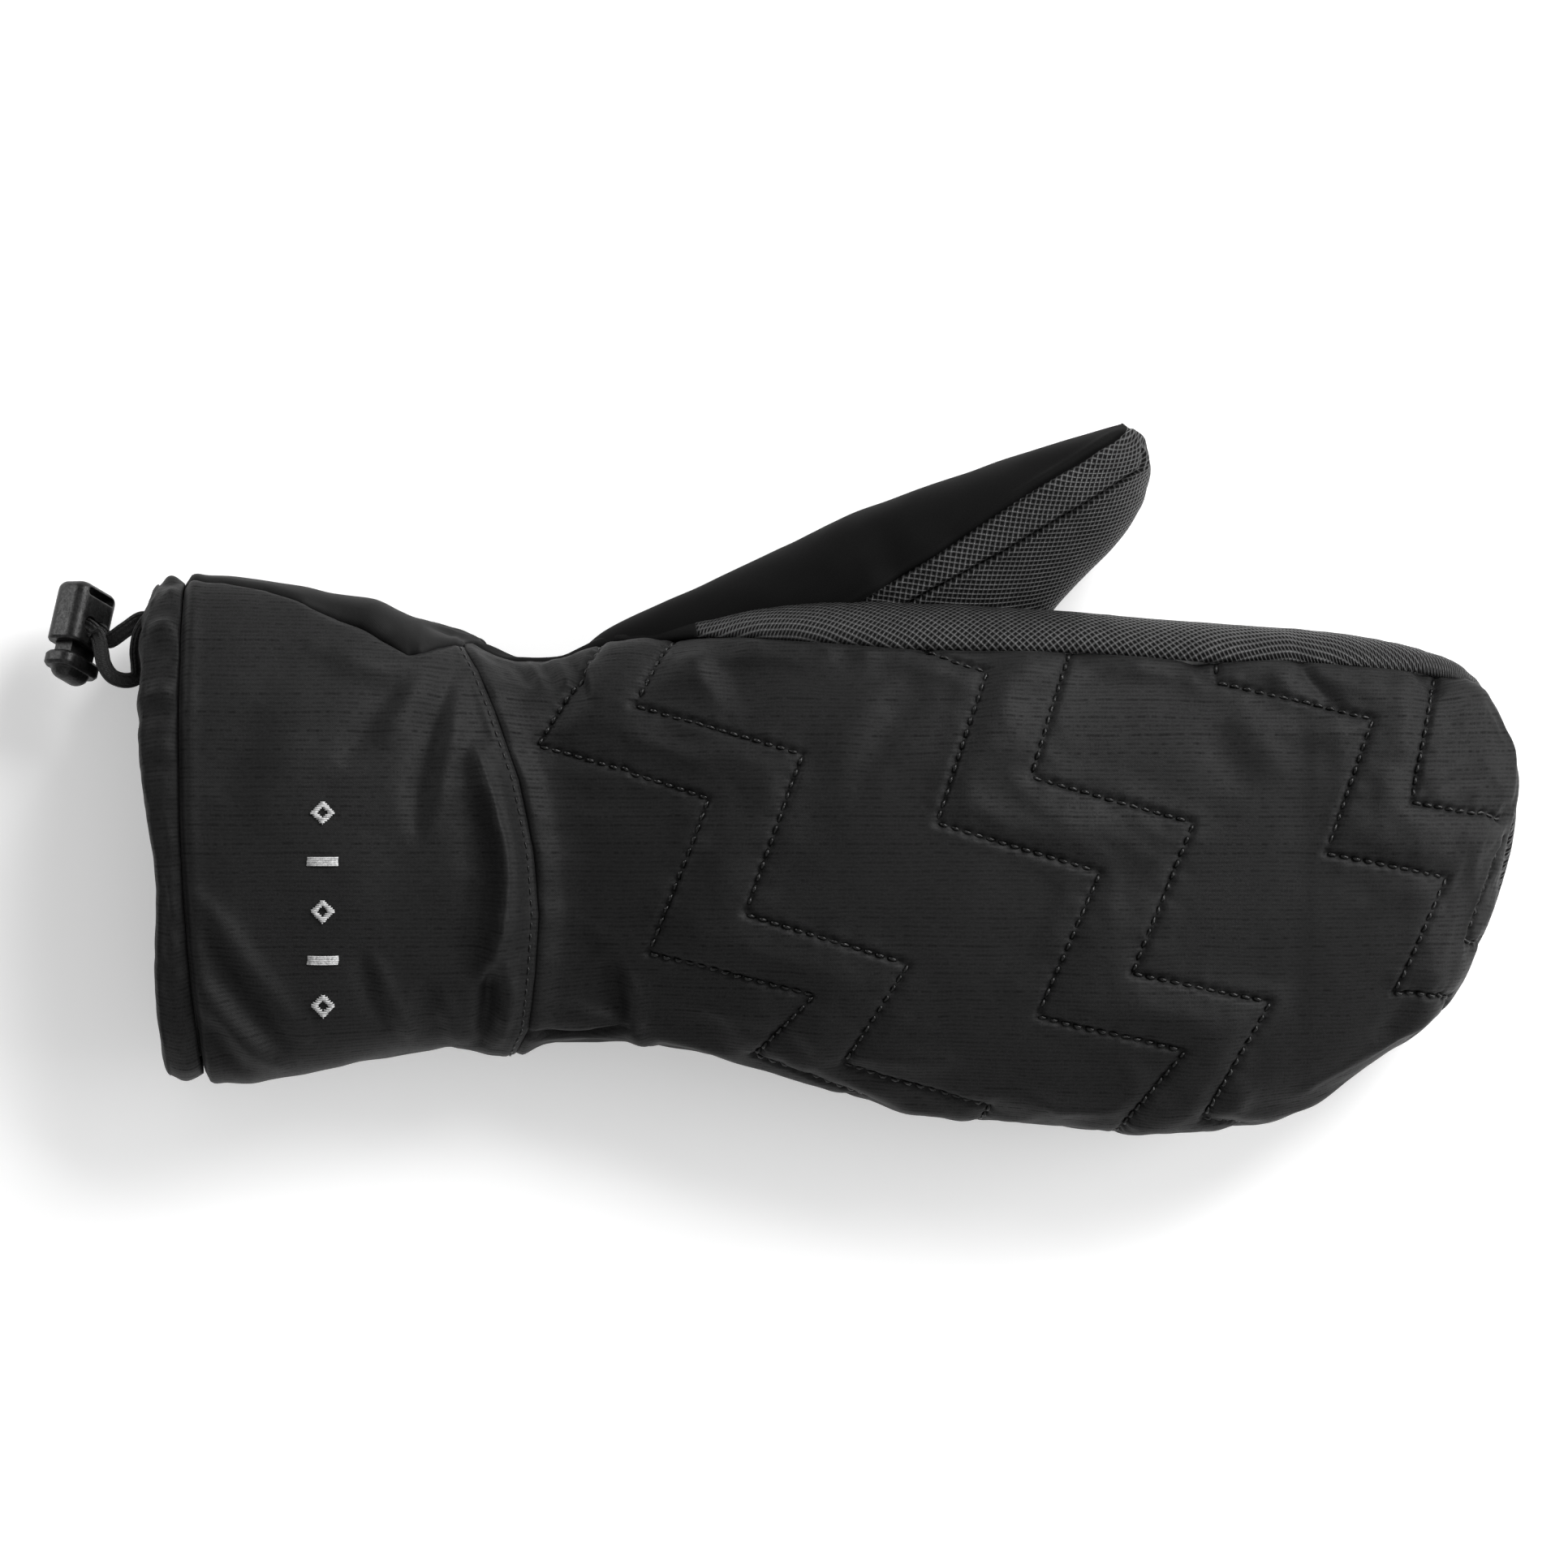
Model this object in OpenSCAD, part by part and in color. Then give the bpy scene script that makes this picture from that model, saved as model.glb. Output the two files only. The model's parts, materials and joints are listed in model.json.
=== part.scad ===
// Insulated ski mitten, right hand, lying on its palm.
// +X runs from the cuff to the fingertips, +Y towards the thumb, +Z out of the back of the hand.
// The origin is on the resting plane under the middle of the palm.
// Soft layers are nested closed shells. Where the mitten bends, they stop at a V-shaped fold.

/* [Body] */
// Fingertip to the origin
tip_x = 119.3; // [115:0.1:125]
// Palm thickness, shell to shell
palm_h = 60; // [56:0.5:64]
// Wrist thickness
wrist_h = 45; // [42:0.5:48]
// Cuff thickness near its mouth
cuff_h = 53; // [50:0.5:56]
// Width factor across the hand
width_k = 1.0; // [0.95:0.01:1.05]

/* [Layers] */
// Outer fabric with its laminated backing
shell_t = 1.2; // [0.8:0.1:1.4]
// Wadding in the hand and fingers
wadding_t = 6.0; // [4:0.5:6.5]
// Wadding in the thumb
thumb_wadding_t = 4.0; // [3:0.5:4.5]
// Wadding in the cuff
cuff_wadding_t = 2.6; // [2:0.2:3]
// Waterproof membrane
membrane_t = 0.6; // [0.4:0.1:0.7]
// Brushed lining
lining_t = 1.4; // [1:0.1:1.6]
// Free play between layers
play = 0.4; // [0.3:0.05:0.5]

/* [Folds] */
// Wrist fold, distance behind the origin
wrist_x = -112; // [-114:0.5:-110]
// Knuckle fold, distance ahead of the origin
knuckle_x = 14; // [12:0.5:16]
// Half angle of the wrist fold on each side
wrist_half = 13; // [11:0.5:14]
// Half angle of the knuckle fold
knuckle_half = 21; // [18:0.5:22]
// Opening angle over the thumb fold
thumb_open = 14; // [12:0.5:15]

/* [Cuff hem] */
// Length of the drawcord tunnel
hem_len = 9.8; // [8:0.1:11]
// Depth of the tunnel
hem_depth = 6.2; // [5.8:0.1:6.6]
// Tunnel fabric thickness
hem_t = 1.0; // [0.8:0.1:1.1]
// Drawcord radius
cord_r = 1.1; // [0.9:0.05:1.15]

/* [Cord lock] */
// Housing from the cord hole to its closed end
lock_back = 9.9; // [9.8:0.1:10.4]
// Housing from the cord hole to its open end
lock_front = 4.8; // [4.8:0.1:5.6]
// Housing width
lock_w = 14; // [13.5:0.5:15]
// Housing thickness
lock_t = 9.5; // [9:0.25:10.5]
// Radius of the rounded ends of the cord slot
slot_r = 1.6; // [1.45:0.05:1.7]
// Plunger travel
press = 2; // [1.6:0.1:2]
// Spring wire radius
wire_r = 0.25; // [0.2:0.01:0.28]

/* [Stitching] */
// Thread radius of the quilting
thread_r = 0.3; // [0.2:0.05:0.35]
// Distance of the quilting from the panel's side seams
quilt_inset = 8; // [8:0.5:12]

/* [Hidden] */

// Colours used by several pieces
SHELL_BLACK = [0.13, 0.13, 0.14];
PALM_GREY = [0.2, 0.2, 0.21];
THUMB_BLACK = [0.05, 0.05, 0.055];
WADDING_WHITE = [0.85, 0.86, 0.86];
MEMBRANE_BLUE = [0.75, 0.8, 0.85];
LINING_GREY = [0.16, 0.16, 0.17];
THREAD_BLACK = [0.04, 0.04, 0.04];

// --- layers, each as [outer depth, inner depth] below the surface
function under(layer, thickness) = [layer[1] + play, layer[1] + play + thickness];
elastic_t = 1;
SHELL = [0, shell_t];
HAND_WADDING = under(SHELL, wadding_t);
HAND_MEMBRANE = under(HAND_WADDING, membrane_t);
HAND_LINING = under(HAND_MEMBRANE, lining_t);
THUMB_WADDING = under(SHELL, thumb_wadding_t);
THUMB_MEMBRANE = under(THUMB_WADDING, membrane_t);
THUMB_LINING = under(THUMB_MEMBRANE, lining_t);
CUFF_WADDING = under(SHELL, cuff_wadding_t);
ELASTIC = under(CUFF_WADDING, elastic_t);
CUFF_LINING = under(ELASTIC, lining_t);

// --- body surface
// Pattern stations: x, y of the thumb-side edge, y of the little-finger-side edge
PATTERN = [
  [-206, 67.5, -46.2], [-195, 70.3, -48.2], [-180, 70, -48.6], [-165, 68.2, -46.8],
  [-150, 65.5, -43.5], [-130, 58, -41], [-112, 52.8, -42], [-97, 57, -42],
  [-80, 59.5, -43.8], [-60, 63.8, -48.4], [-40, 65.2, -53.2], [-20, 64.7, -58],
  [0, 63.9, -61], [20, 62.2, -62.7], [45, 60.2, -62.2], [65, 58.8, -57.6],
  [80, 57, -50.5], [92, 54.8, -43], [101, 52, -35.5], [107, 49, -25],
  [112, 43.2, -13.7], [116, 36, -1.5], [118.6, 28.5, 16]];
// Stations: x, thickness there
HEIGHT = [
  [-206, 0.93 * cuff_h], [-195, cuff_h], [-170, cuff_h], [-150, cuff_h - 2],
  [-130, (cuff_h + wrist_h) / 2 - 1.5], [-112, wrist_h], [-97, wrist_h + 3],
  [-80, palm_h - 8], [-60, palm_h - 3], [-40, palm_h], [-20, palm_h],
  [0, palm_h - 1], [20, palm_h - 3], [45, palm_h - 5], [65, palm_h - 8],
  [80, palm_h - 12], [92, palm_h - 17], [101, palm_h - 23], [107, palm_h - 29.5],
  [112, palm_h - 36], [116, palm_h - 44], [118.6, palm_h - 53]];

// Stations where rings of points stand
HAND_X = [wrist_x, -97, -80, -60, -40, -20, 0, knuckle_x];
FINGER_X = [knuckle_x, 30, 45, 65, 80, 92, 101, 107, 112, 116, 118.6];
CUFF_X = [-194.9, -180, -165, -150, -130, wrist_x];

ring_points = 32;       // points round the body
step = 360 / ring_points;
thumb_seam = 3 * step;  // thumb-side seam between back and palm panels
little_seam = 19 * step; // little-finger-side seam
web_seam = 360 - 2 * step; // seam between the palm panel and the thumb web
seam_slit = 0.3;        // angle taken off a panel at each seam
fold_gap = 0.3;         // half the slit in each fold at its axis
wrist_z = wrist_h / 2;  // heights of the fold axes
knuckle_z = 22;
back_power = 2.3;       // superellipse powers of the upper and lower halves
palm_power = 2.7;
palm_extra = 0.6;       // added below the middle, so the palm rests flat
taper_x = 65;           // ahead of this station the fingers narrow to their tip
tip_y = 22.3;
mouth_curve = 0.0009;   // curve of the cuff's mouth across Y
mouth_curve_y = 35;     // where that curve is zero
mouth_curve_len = 93;   // length behind the wrist at which it is full

function column(table, index) = [for (row = table) [row[0], row[index]]];
THUMB_EDGE = column(PATTERN, 1);
LITTLE_EDGE = column(PATTERN, 2);
function thumb_edge(x) = lookup(x, THUMB_EDGE) * width_k;
function little_edge(x) = lookup(x, LITTLE_EDGE) * width_k;
function height(x) = lookup(x, HEIGHT);
function half_width(x) = (thumb_edge(x) - little_edge(x)) / 2;
function middle_y(x) = (thumb_edge(x) + little_edge(x)) / 2;
function middle_z(x) = height(min(x, taper_x)) / 2;
function rounded(value, power) = sign(value) * pow(abs(value), 2 / power);
function mouth_shift(x, y) =
  x > wrist_x ? 0 : mouth_curve * pow(y - mouth_curve_y, 2) * (wrist_x - x) / mouth_curve_len;
// Fingers shrink along X towards the knuckle as the depth grows
function finger_x(x, depth) = knuckle_x + (x - knuckle_x) * (1 - depth / (tip_x - knuckle_x));

// A point of the body at a station. Angle 0 is the thumb side and 90 the back of the hand
function body_point(x, angle, depth) =
  let (full_x = min(x, taper_x),
       y_scale = 1 - depth / half_width(full_x),
       z_scale = 1 - depth / (height(full_x) / 2),
       full_y = middle_y(full_x),
       upper = sin(angle) >= 0,
       power = upper ? back_power : palm_power,
       half_h = height(x) / 2 + (!upper && x < taper_x ? palm_extra : 0),
       y = full_y + (middle_y(x) + half_width(x) * rounded(cos(angle), power) - full_y) * y_scale,
       free_z = middle_z(x) + half_h * rounded(sin(angle), power) * z_scale,
       z = x <= taper_x ? max(free_z, depth) : free_z,
       moved_x = x <= knuckle_x ? x : finger_x(x, depth))
  [moved_x + mouth_shift(moved_x, y), y, z];

// Fold faces: side is +1 for material ahead of the fold and -1 for material behind it
function at_wrist(p, side) =
  [wrist_x + side * (fold_gap + abs(p[2] - wrist_z) * tan(wrist_half)), p[1], p[2]];
function at_knuckle(p, side) =
  [knuckle_x + side * (fold_gap + max(0, knuckle_z - p[2]) * tan(knuckle_half)), p[1], p[2]];
function place(x, angle, depth, part) =
  let (p = body_point(x, angle, depth))
  x == wrist_x ? at_wrist(p, part == "hand" ? 1 : -1)
  : x == knuckle_x ? at_knuckle(p, part == "finger" ? 1 : -1)
  : p;
function body_grid(stations, angles, depth, part) =
  [for (x = stations) [for (angle = angles) place(x, angle, depth, part)]];
function finger_tip(depth, z_shift = 0) =
  [finger_x(tip_x, depth),
   middle_y(taper_x) + (tip_y - middle_y(taper_x)) * (1 - depth / half_width(taper_x)),
   middle_z(taper_x) + z_shift];
function finger_tips(depths, z_shift = 0) = [for (depth = depths) finger_tip(depth, z_shift)];

// Angles across a panel, drawn in at both ends to leave a slit at the seams
function panel_angles(from, to, pitch = step, slit = seam_slit) =
  let (last = round((to - from) / pitch))
  [for (j = [0:last]) from + j * pitch + (j == 0 ? slit : j == last ? -slit : 0)];
RING_ANGLES = [for (j = [0:ring_points - 1]) j * step];
BACK_ANGLES = panel_angles(thumb_seam, little_seam);

// --- thumb surface
// Sections stand on planes of constant y:
// y, outer edge x, finger-side edge x, underside z, top z
THUMB = [
  [66.3, -74, 8, 1.5, 35], [75, -57, 20, 1, 36.5], [80, -47, 25, 1, 36.5],
  [85, -36.5, 28.8, 1, 36], [90, -24.3, 31, 1.5, 34.5], [95, -10, 31.8, 2.5, 32],
  [100, 4, 30.6, 4, 29], [103.5, 14.5, 28.8, 6.5, 25.5], [105.8, 21.5, 26.6, 10.5, 20.5]];
thumb_ring_points = 24;
thumb_step = 360 / thumb_ring_points;
thumb_slit = 0.5;       // angle taken off a thumb panel at each seam
thumb_fold_z = 16;      // height above which the base leans away from the hand
thumb_base_y = THUMB[0][0];
thumb_tip = [24.6, 106.3, 15.5];
thumb_len = thumb_tip[1] - thumb_base_y;
thumb_power = 2.2;
outer_inset = 2.4;      // inset in x per depth at the base, on each edge
finger_inset = 1.15;
core_x = 17;            // depths at which the tip section would shrink to nothing
core_z = 17.5;

// Angle 0 is the finger side and 90 the top
function thumb_point(row, angle, depth) =
  let (section = THUMB[row], outer_x = section[1], inner_x = section[2],
       along = (section[0] - thumb_base_y) / thumb_len,
       centre_x = (outer_x + inner_x) / 2,
       x_low = outer_x + outer_inset * depth * (1 - along)
         + (centre_x - outer_x) * depth / core_x * along,
       x_high = inner_x - finger_inset * depth * (1 - along)
         - (inner_x - centre_x) * depth / core_x * along,
       half_h = (section[4] - section[3]) / 2 * (1 - depth / core_z),
       z = (section[3] + section[4]) / 2 + half_h * rounded(sin(angle), thumb_power),
       y = row == 0
         ? thumb_base_y + max(0, z - thumb_fold_z) * tan(thumb_open)
         : thumb_base_y + (section[0] - thumb_base_y) * (1 - depth / thumb_len))
  [(x_low + x_high) / 2 + (x_high - x_low) / 2 * rounded(cos(angle), thumb_power), y, z];
function thumb_grid(angles, depth) =
  [for (row = [0:len(THUMB) - 1]) [for (angle = angles) thumb_point(row, angle, depth)]];
function thumb_tips(depths, shift = [0, 0, 0]) =
  [for (depth = depths) thumb_tip - [0, depth, 0] + shift];
function reversed(list) = [for (i = [len(list) - 1:-1:0]) list[i]];

// --- solids between two grids
function flat(rows) = [for (row = rows) each row];
function quad(a, b, c, d) = [[a, b, c], [a, c, d]];

// Closed layer between an outer and an inner grid of rows.
// Rows run all the way round unless panel is set, and tips close the last row to a point.
module layer(outer, inner, tips = [], panel = false) {
  rows = len(outer);
  cols = len(outer[0]);
  under = rows * cols;  // first index of the inner grid
  end = under - cols;   // first index of the last row
  tip = 2 * under;      // index of the outer tip
  capped = len(tips) > 0;
  spans = [0:cols - (panel ? 2 : 1)];
  faces = [
    for (i = [0:rows - 2], j = spans)
      let (k = (j + 1) % cols, row = i * cols, next = row + cols)
      each concat(
        quad(row + j, row + k, next + k, next + j),
        quad(under + next + j, under + next + k, under + row + k, under + row + j)),
    for (j = spans)
      let (k = (j + 1) % cols)
      each concat(
        quad(under + j, under + k, k, j),
        capped
          ? [[end + j, end + k, tip], [under + end + k, under + end + j, tip + 1]]
          : quad(end + j, end + k, under + end + k, under + end + j)),
    // side edges of a panel
    if (panel) for (i = [0:rows - 2])
      let (row = i * cols, next = row + cols, side = row + cols - 1, next_side = side + cols)
      each concat(
        quad(row, next, under + next, under + row),
        quad(side, under + side, under + next_side, next_side)),
    if (panel && capped)
      let (side = end + cols - 1)
      each [
        [end, tip, tip + 1], [end, tip + 1, under + end],
        [side, tip + 1, tip], [side, under + side, tip + 1]]];
  polyhedron(points = concat(flat(outer), flat(inner), tips), faces = faces, convexity = 8);
}

module body_ring(stations, depths, part, tips = [])
  layer(body_grid(stations, RING_ANGLES, depths[0], part),
    body_grid(stations, RING_ANGLES, depths[1], part), tips);

module body_panel(stations, angles, part, tips = [])
  layer(body_grid(stations, angles, SHELL[0], part),
    body_grid(stations, angles, SHELL[1], part), tips, panel = true);

// --- hand
// Way from the hand's hollow into the thumb's
way_x = [-42, -13.5];   // centres of its rounded ends
way_y = 40;
way_z = 18;
way_r = 11.5;
way_len = 40;
module thumb_way() {
  for (x = way_x)
    translate([x, way_y, way_z]) rotate([-90, 0, 0]) cylinder(r = way_r, h = way_len, $fn = 48);
  translate([way_x[0], way_y, way_z - way_r]) cube([way_x[1] - way_x[0], way_len, 2 * way_r]);
}

module hand_ring(depths) {
  difference() {
    body_ring(HAND_X, depths, "hand");
    thumb_way();
  }
}

module back_panel() color(SHELL_BLACK) body_panel(HAND_X, BACK_ANGLES, "hand");

// From the wrist to station web_end, the thumb web takes the palm panel's thumb-side strip
web_end = 4;
web_gap = 0.4;
WEB_X = [for (i = [0:web_end]) HAND_X[i]];
REST_X = [for (i = [web_end:len(HAND_X) - 1]) HAND_X[i]];
PALM_ANGLES = panel_angles(little_seam, web_seam);
// The full width repeats the strip's angles, then goes on to the thumb-side seam
PALM_FULL_ANGLES = concat(PALM_ANGLES,
  [for (k = [-1:3]) 360 + k * step - (k == 3 ? seam_slit : 0)]);
module palm_panel() color(PALM_GREY) difference() {
  union() {
    body_panel(WEB_X, PALM_ANGLES, "hand");
    body_panel(REST_X, PALM_FULL_ANGLES, "hand");
  }
  thumb_way();
}
module thumb_web() color(THUMB_BLACK) difference() {
  body_panel([for (i = [0:web_end]) WEB_X[i] - (i == web_end ? web_gap : 0)],
    panel_angles(web_seam - 360, thumb_seam), "hand");
  thumb_way();
}
module hand_insulation() color(WADDING_WHITE) hand_ring(HAND_WADDING);
module hand_membrane() color(MEMBRANE_BLUE) hand_ring(HAND_MEMBRANE);
module hand_lining() color(LINING_GREY) hand_ring(HAND_LINING);

// --- fingers
tip_slit = 0.15;        // half the slit between the two panels at the fingertip
module finger_ring(depths) body_ring(FINGER_X, depths, "finger", finger_tips(depths));
module finger_back_panel() color(SHELL_BLACK)
  body_panel(FINGER_X, BACK_ANGLES, "finger", finger_tips(SHELL, tip_slit));
module finger_palm_panel() color(PALM_GREY)
  body_panel(FINGER_X, panel_angles(little_seam, thumb_seam + 360), "finger",
    finger_tips(SHELL, -tip_slit));
module finger_insulation() color(WADDING_WHITE) finger_ring(HAND_WADDING);
module finger_membrane() color(MEMBRANE_BLUE) finger_ring(HAND_MEMBRANE);
module finger_lining() color(LINING_GREY) finger_ring(HAND_LINING);

// --- thumb, with the angles reversed so that its faces point outwards
module thumb_ring(depths) {
  angles = [for (j = [thumb_ring_points - 1:-1:0]) j * thumb_step];
  layer(thumb_grid(angles, depths[0]), thumb_grid(angles, depths[1]), thumb_tips(depths));
}
// tip_shift keeps the panels apart at the tip
module thumb_panel(from, to, tip_shift) {
  angles = reversed(panel_angles(from, to, thumb_step, thumb_slit));
  layer(thumb_grid(angles, SHELL[0]), thumb_grid(angles, SHELL[1]),
    thumb_tips(SHELL, tip_shift), panel = true);
}
module thumb_back_panel() color(THUMB_BLACK) thumb_panel(90, 270, [-0.25, 0, 0]);
module thumb_side_strip() color(PALM_GREY) thumb_panel(60, 90, [0.1, 0, 0.25]);
module thumb_palm_panel() color(PALM_GREY) thumb_panel(-90, 60, [0.25, 0, -0.15]);
module thumb_insulation() color(WADDING_WHITE) thumb_ring(THUMB_WADDING);
module thumb_membrane() color(MEMBRANE_BLUE) thumb_ring(THUMB_MEMBRANE);
module thumb_lining() color(LINING_GREY) thumb_ring(THUMB_LINING);

// --- cuff
gusset_seam = -step;
module cuff_panel(from, to) body_panel(CUFF_X, panel_angles(from, to), "cuff");
module cuff_back_panel() color(SHELL_BLACK) cuff_panel(thumb_seam, little_seam);
module cuff_palm_panel() color(SHELL_BLACK) cuff_panel(little_seam, gusset_seam + 360);
module cuff_side_gusset() color([0.09, 0.09, 0.1]) cuff_panel(gusset_seam, thumb_seam);
module cuff_insulation() color(WADDING_WHITE) body_ring(CUFF_X, CUFF_WADDING, "cuff");
module cuff_lining() color(LINING_GREY) body_ring(CUFF_X, CUFF_LINING, "cuff");

// Rings of the band between the wadding and the lining:
// station behind, station ahead, share of the way between them
BAND = [[-150, -130, 0.8], [-130, wrist_x, 0], [-130, wrist_x, 0.55]];
function band_grid(depth) = [for (ring = BAND) [for (angle = RING_ANGLES)
  place(ring[0], angle, depth, "cuff") * (1 - ring[2])
  + place(ring[1], angle, depth, "cuff") * ring[2]]];
module wrist_elastic() color([0.1, 0.1, 0.1])
  layer(band_grid(ELASTIC[0]), band_grid(ELASTIC[1]));

// --- hem tunnel, folded from one strip and open towards the cuff where it is sewn on
hem_x = -205.2;
// Section: x from hem_x, depth
HEM = [
  [0, 0], [0, hem_depth], [hem_len, hem_depth], [hem_len, hem_depth - hem_t],
  [hem_t, hem_depth - hem_t], [hem_t, hem_t], [hem_len, hem_t], [hem_len, 0]];
// Where the cord leaves the tunnel through its two holes
upper_exit = [-200.5, 62.5, 32];
lower_exit = [-200.5, 62.5, 22];
hole_r = 1.9;
hole_y = 55;
hole_len = 9.2;
module hem_tunnel() color([0.12, 0.12, 0.13]) difference() {
  sides = len(HEM);
  polyhedron(
    points = [for (angle = RING_ANGLES, q = HEM) body_point(hem_x + q[0], angle, q[1])],
    faces = [for (j = [0:ring_points - 1], i = [0:sides - 1])
      let (row = j * sides, next = (j + 1) % ring_points * sides, k = (i + 1) % sides)
      each quad(row + i, row + k, next + k, next + i)],
    convexity = 8);
  for (z = [upper_exit[2], lower_exit[2]])
    translate([upper_exit[0], hole_y, z]) rotate([-90, 0, 0])
      cylinder(r = hole_r, h = hole_len, $fn = 32);
}

// --- swept cords and threads
function unit(v) = v / norm(v);
// The part of v square to a direction
function square_to(v, direction) = unit(v - (v * direction) * direction);
// Carries the first normal along the tangents with the least twist
function carry(tangents, normals, i = 1) =
  i >= len(tangents) ? normals
  : carry(tangents, concat(normals, [square_to(normals[i - 1], tangents[i])]), i + 1);
function sweep_ring(centre, tangent, normal, radius, sides, turn = 0) =
  [for (j = [0:sides - 1])
    let (angle = 360 * (j + 0.5) / sides - turn)
    centre + radius * (cos(angle) * normal + sin(angle) * cross(tangent, normal))];
function sweep_quads(row, next, sides) = [for (j = [0:sides - 1])
  let (k = (j + 1) % sides) each quad(row + j, next + j, next + k, row + k)];

module sweep(path, radius, sides) {
  last = len(path) - 1;
  tangents = [for (i = [0:last]) unit(path[min(i + 1, last)] - path[max(i - 1, 0)])];
  normals = carry(tangents, [square_to([0, 0, 1], tangents[0])]);
  polyhedron(
    points = [for (i = [0:last])
      each sweep_ring(path[i], tangents[i], normals[i], radius, sides)],
    faces = [
      for (i = [0:last - 1]) each sweep_quads(i * sides, (i + 1) * sides, sides),
      [for (j = [0:sides - 1]) j],
      [for (j = [sides - 1:-1:0]) last * sides + j]],
    convexity = 8);
}

module closed_sweep(path, radius, sides, first_normal) {
  count = len(path);
  tangents = [for (i = [0:count - 1])
    unit(path[(i + 1) % count] - path[(i + count - 1) % count])];
  normals = carry(tangents, [square_to(first_normal, tangents[0])]);
  // the twist left after one turn is shared along the loop
  back = square_to(normals[count - 1], tangents[0]);
  twist = atan2(back * cross(tangents[0], normals[0]), back * normals[0]);
  polyhedron(
    points = [for (i = [0:count - 1])
      each sweep_ring(path[i], tangents[i], normals[i], radius, sides, twist * i / count)],
    faces = [for (i = [0:count - 1])
      each sweep_quads(i * sides, (i + 1) % count * sides, sides)],
    convexity = 8);
}

// --- cord lock axes: X along the cords, Z towards the button, origin at the cord hole
lock_centre = [-219.2, 58.2, 19];
lock_z = unit([-0.2, -0.93, 0.28]);
lock_x = square_to([0.79, 0, 0.61], lock_z);
lock_y = cross(lock_z, lock_x);
function from_lock(p) = lock_centre + p[0] * lock_x + p[1] * lock_y + p[2] * lock_z;
module in_lock() {
  multmatrix([
    for (i = [0:2]) [lock_x[i], lock_y[i], lock_z[i], lock_centre[i]],
    [0, 0, 0, 1]]) children();
}

// --- drawcord: once round inside the tunnel, out of both holes and through the lock in a loop
cord_y = 2;             // each cord from the middle of the lock
bend_x = -5.6;          // where the cord starts to bend round beyond the lock
function bend_point(angle, side) =
  from_lock([bend_x - cord_y * sin(angle), side * cord_y * cos(angle), 0]);
CORD = concat(
  [for (a = [90:-30:0]) bend_point(a, 1)],
  [from_lock([7, cord_y, 0]), from_lock([11, cord_y + 0.4, -0.2]),
   [-205.2, 57.8, 30], [-202.7, 58, 30.9], [-201.2, 59.6, 31.6],
   upper_exit, [-200.4, 64.3, 32.4]],
  [for (j = [2:ring_points - 2]) body_point(hem_x + hem_len / 2, j * step, hem_depth / 2)],
  [[-200.4, 64.5, 21.4], lower_exit,
   [-200.9, 60.5, 22.2], [-202.6, 59, 22.7], [-205.2, 58.4, 23.4],
   from_lock([11, -cord_y - 0.4, 0]), from_lock([7, -cord_y, 0])],
  [for (a = [0:30:60]) bend_point(a, -1)]);
module drawcord() color([0.06, 0.06, 0.06]) closed_sweep(CORD, cord_r, 8, lock_z);

// --- cord lock
corner_r = 3.2;         // corner radius of the housing
end_r = 2.2;            // radius round its closed end
rim_h = 2;              // straight and bevelled length at the open end
bevel_h = 0.5;
bevel = 0.35;
stem_w = 8.8;           // plunger stem
stem_t = 4.8;
stem_fit = 0.2;         // clearance round the stem
well_floor = 5.9;       // floor of the stem's well, below the cord hole
cut = 20;               // length of cuts that pass right through
recess_extra = 0.45;    // recess radius beyond the slot's
tab_slot_z = 2.2;       // webbing slot above the closed end
tab_slot_y = 3.9;
tab_slot_r = 0.95;

// Rounded slot across the lock, cut through along its X
module slot(half_len, radius) {
  for (s = [-1, 1])
    translate([-cut / 2, s * half_len, 0]) rotate([0, 90, 0])
      cylinder(r = radius, h = cut, $fn = 32);
  translate([-cut / 2, -half_len, -radius]) cube([cut, 2 * half_len, 2 * radius]);
}
module housing() {
  hull() for (y = [-1, 1], x = [-1, 1])
    translate([x * (lock_t / 2 - corner_r), y * (lock_w / 2 - corner_r), 0]) {
      translate([0, 0, -lock_back + end_r]) rotate_extrude($fn = 36) intersection() {
        translate([corner_r - end_r, 0]) circle(r = end_r, $fn = 24);
        translate([0, -3]) square([5, 3]); // keeps the lower half, outside the axis
      }
      translate([0, 0, lock_front - rim_h])
        cylinder(r = corner_r, h = rim_h - bevel_h, $fn = 36);
      translate([0, 0, lock_front - bevel_h])
        cylinder(r1 = corner_r, r2 = corner_r - bevel, h = bevel_h, $fn = 36);
    }
}
module cord_lock_body() color([0.1, 0.1, 0.105]) in_lock() difference() {
  housing();
  translate([-stem_t / 2 - stem_fit, -stem_w / 2 - stem_fit, -well_floor])
    cube([stem_t + 2 * stem_fit, stem_w + 2 * stem_fit, cut]);
  slot(cord_y, slot_r);
  // rounded recess where the cords enter on each side
  for (m = [-1, 1]) translate([m * lock_t / 2, 0, 0])
    for (s = [-1, 1]) translate([0, s * cord_y, 0]) sphere(r = slot_r + recess_extra, $fn = 28);
  // slot for a webbing tab across the closed end
  translate([0, 0, -lock_back + tab_slot_z]) slot(tab_slot_y, tab_slot_r);
}

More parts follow.
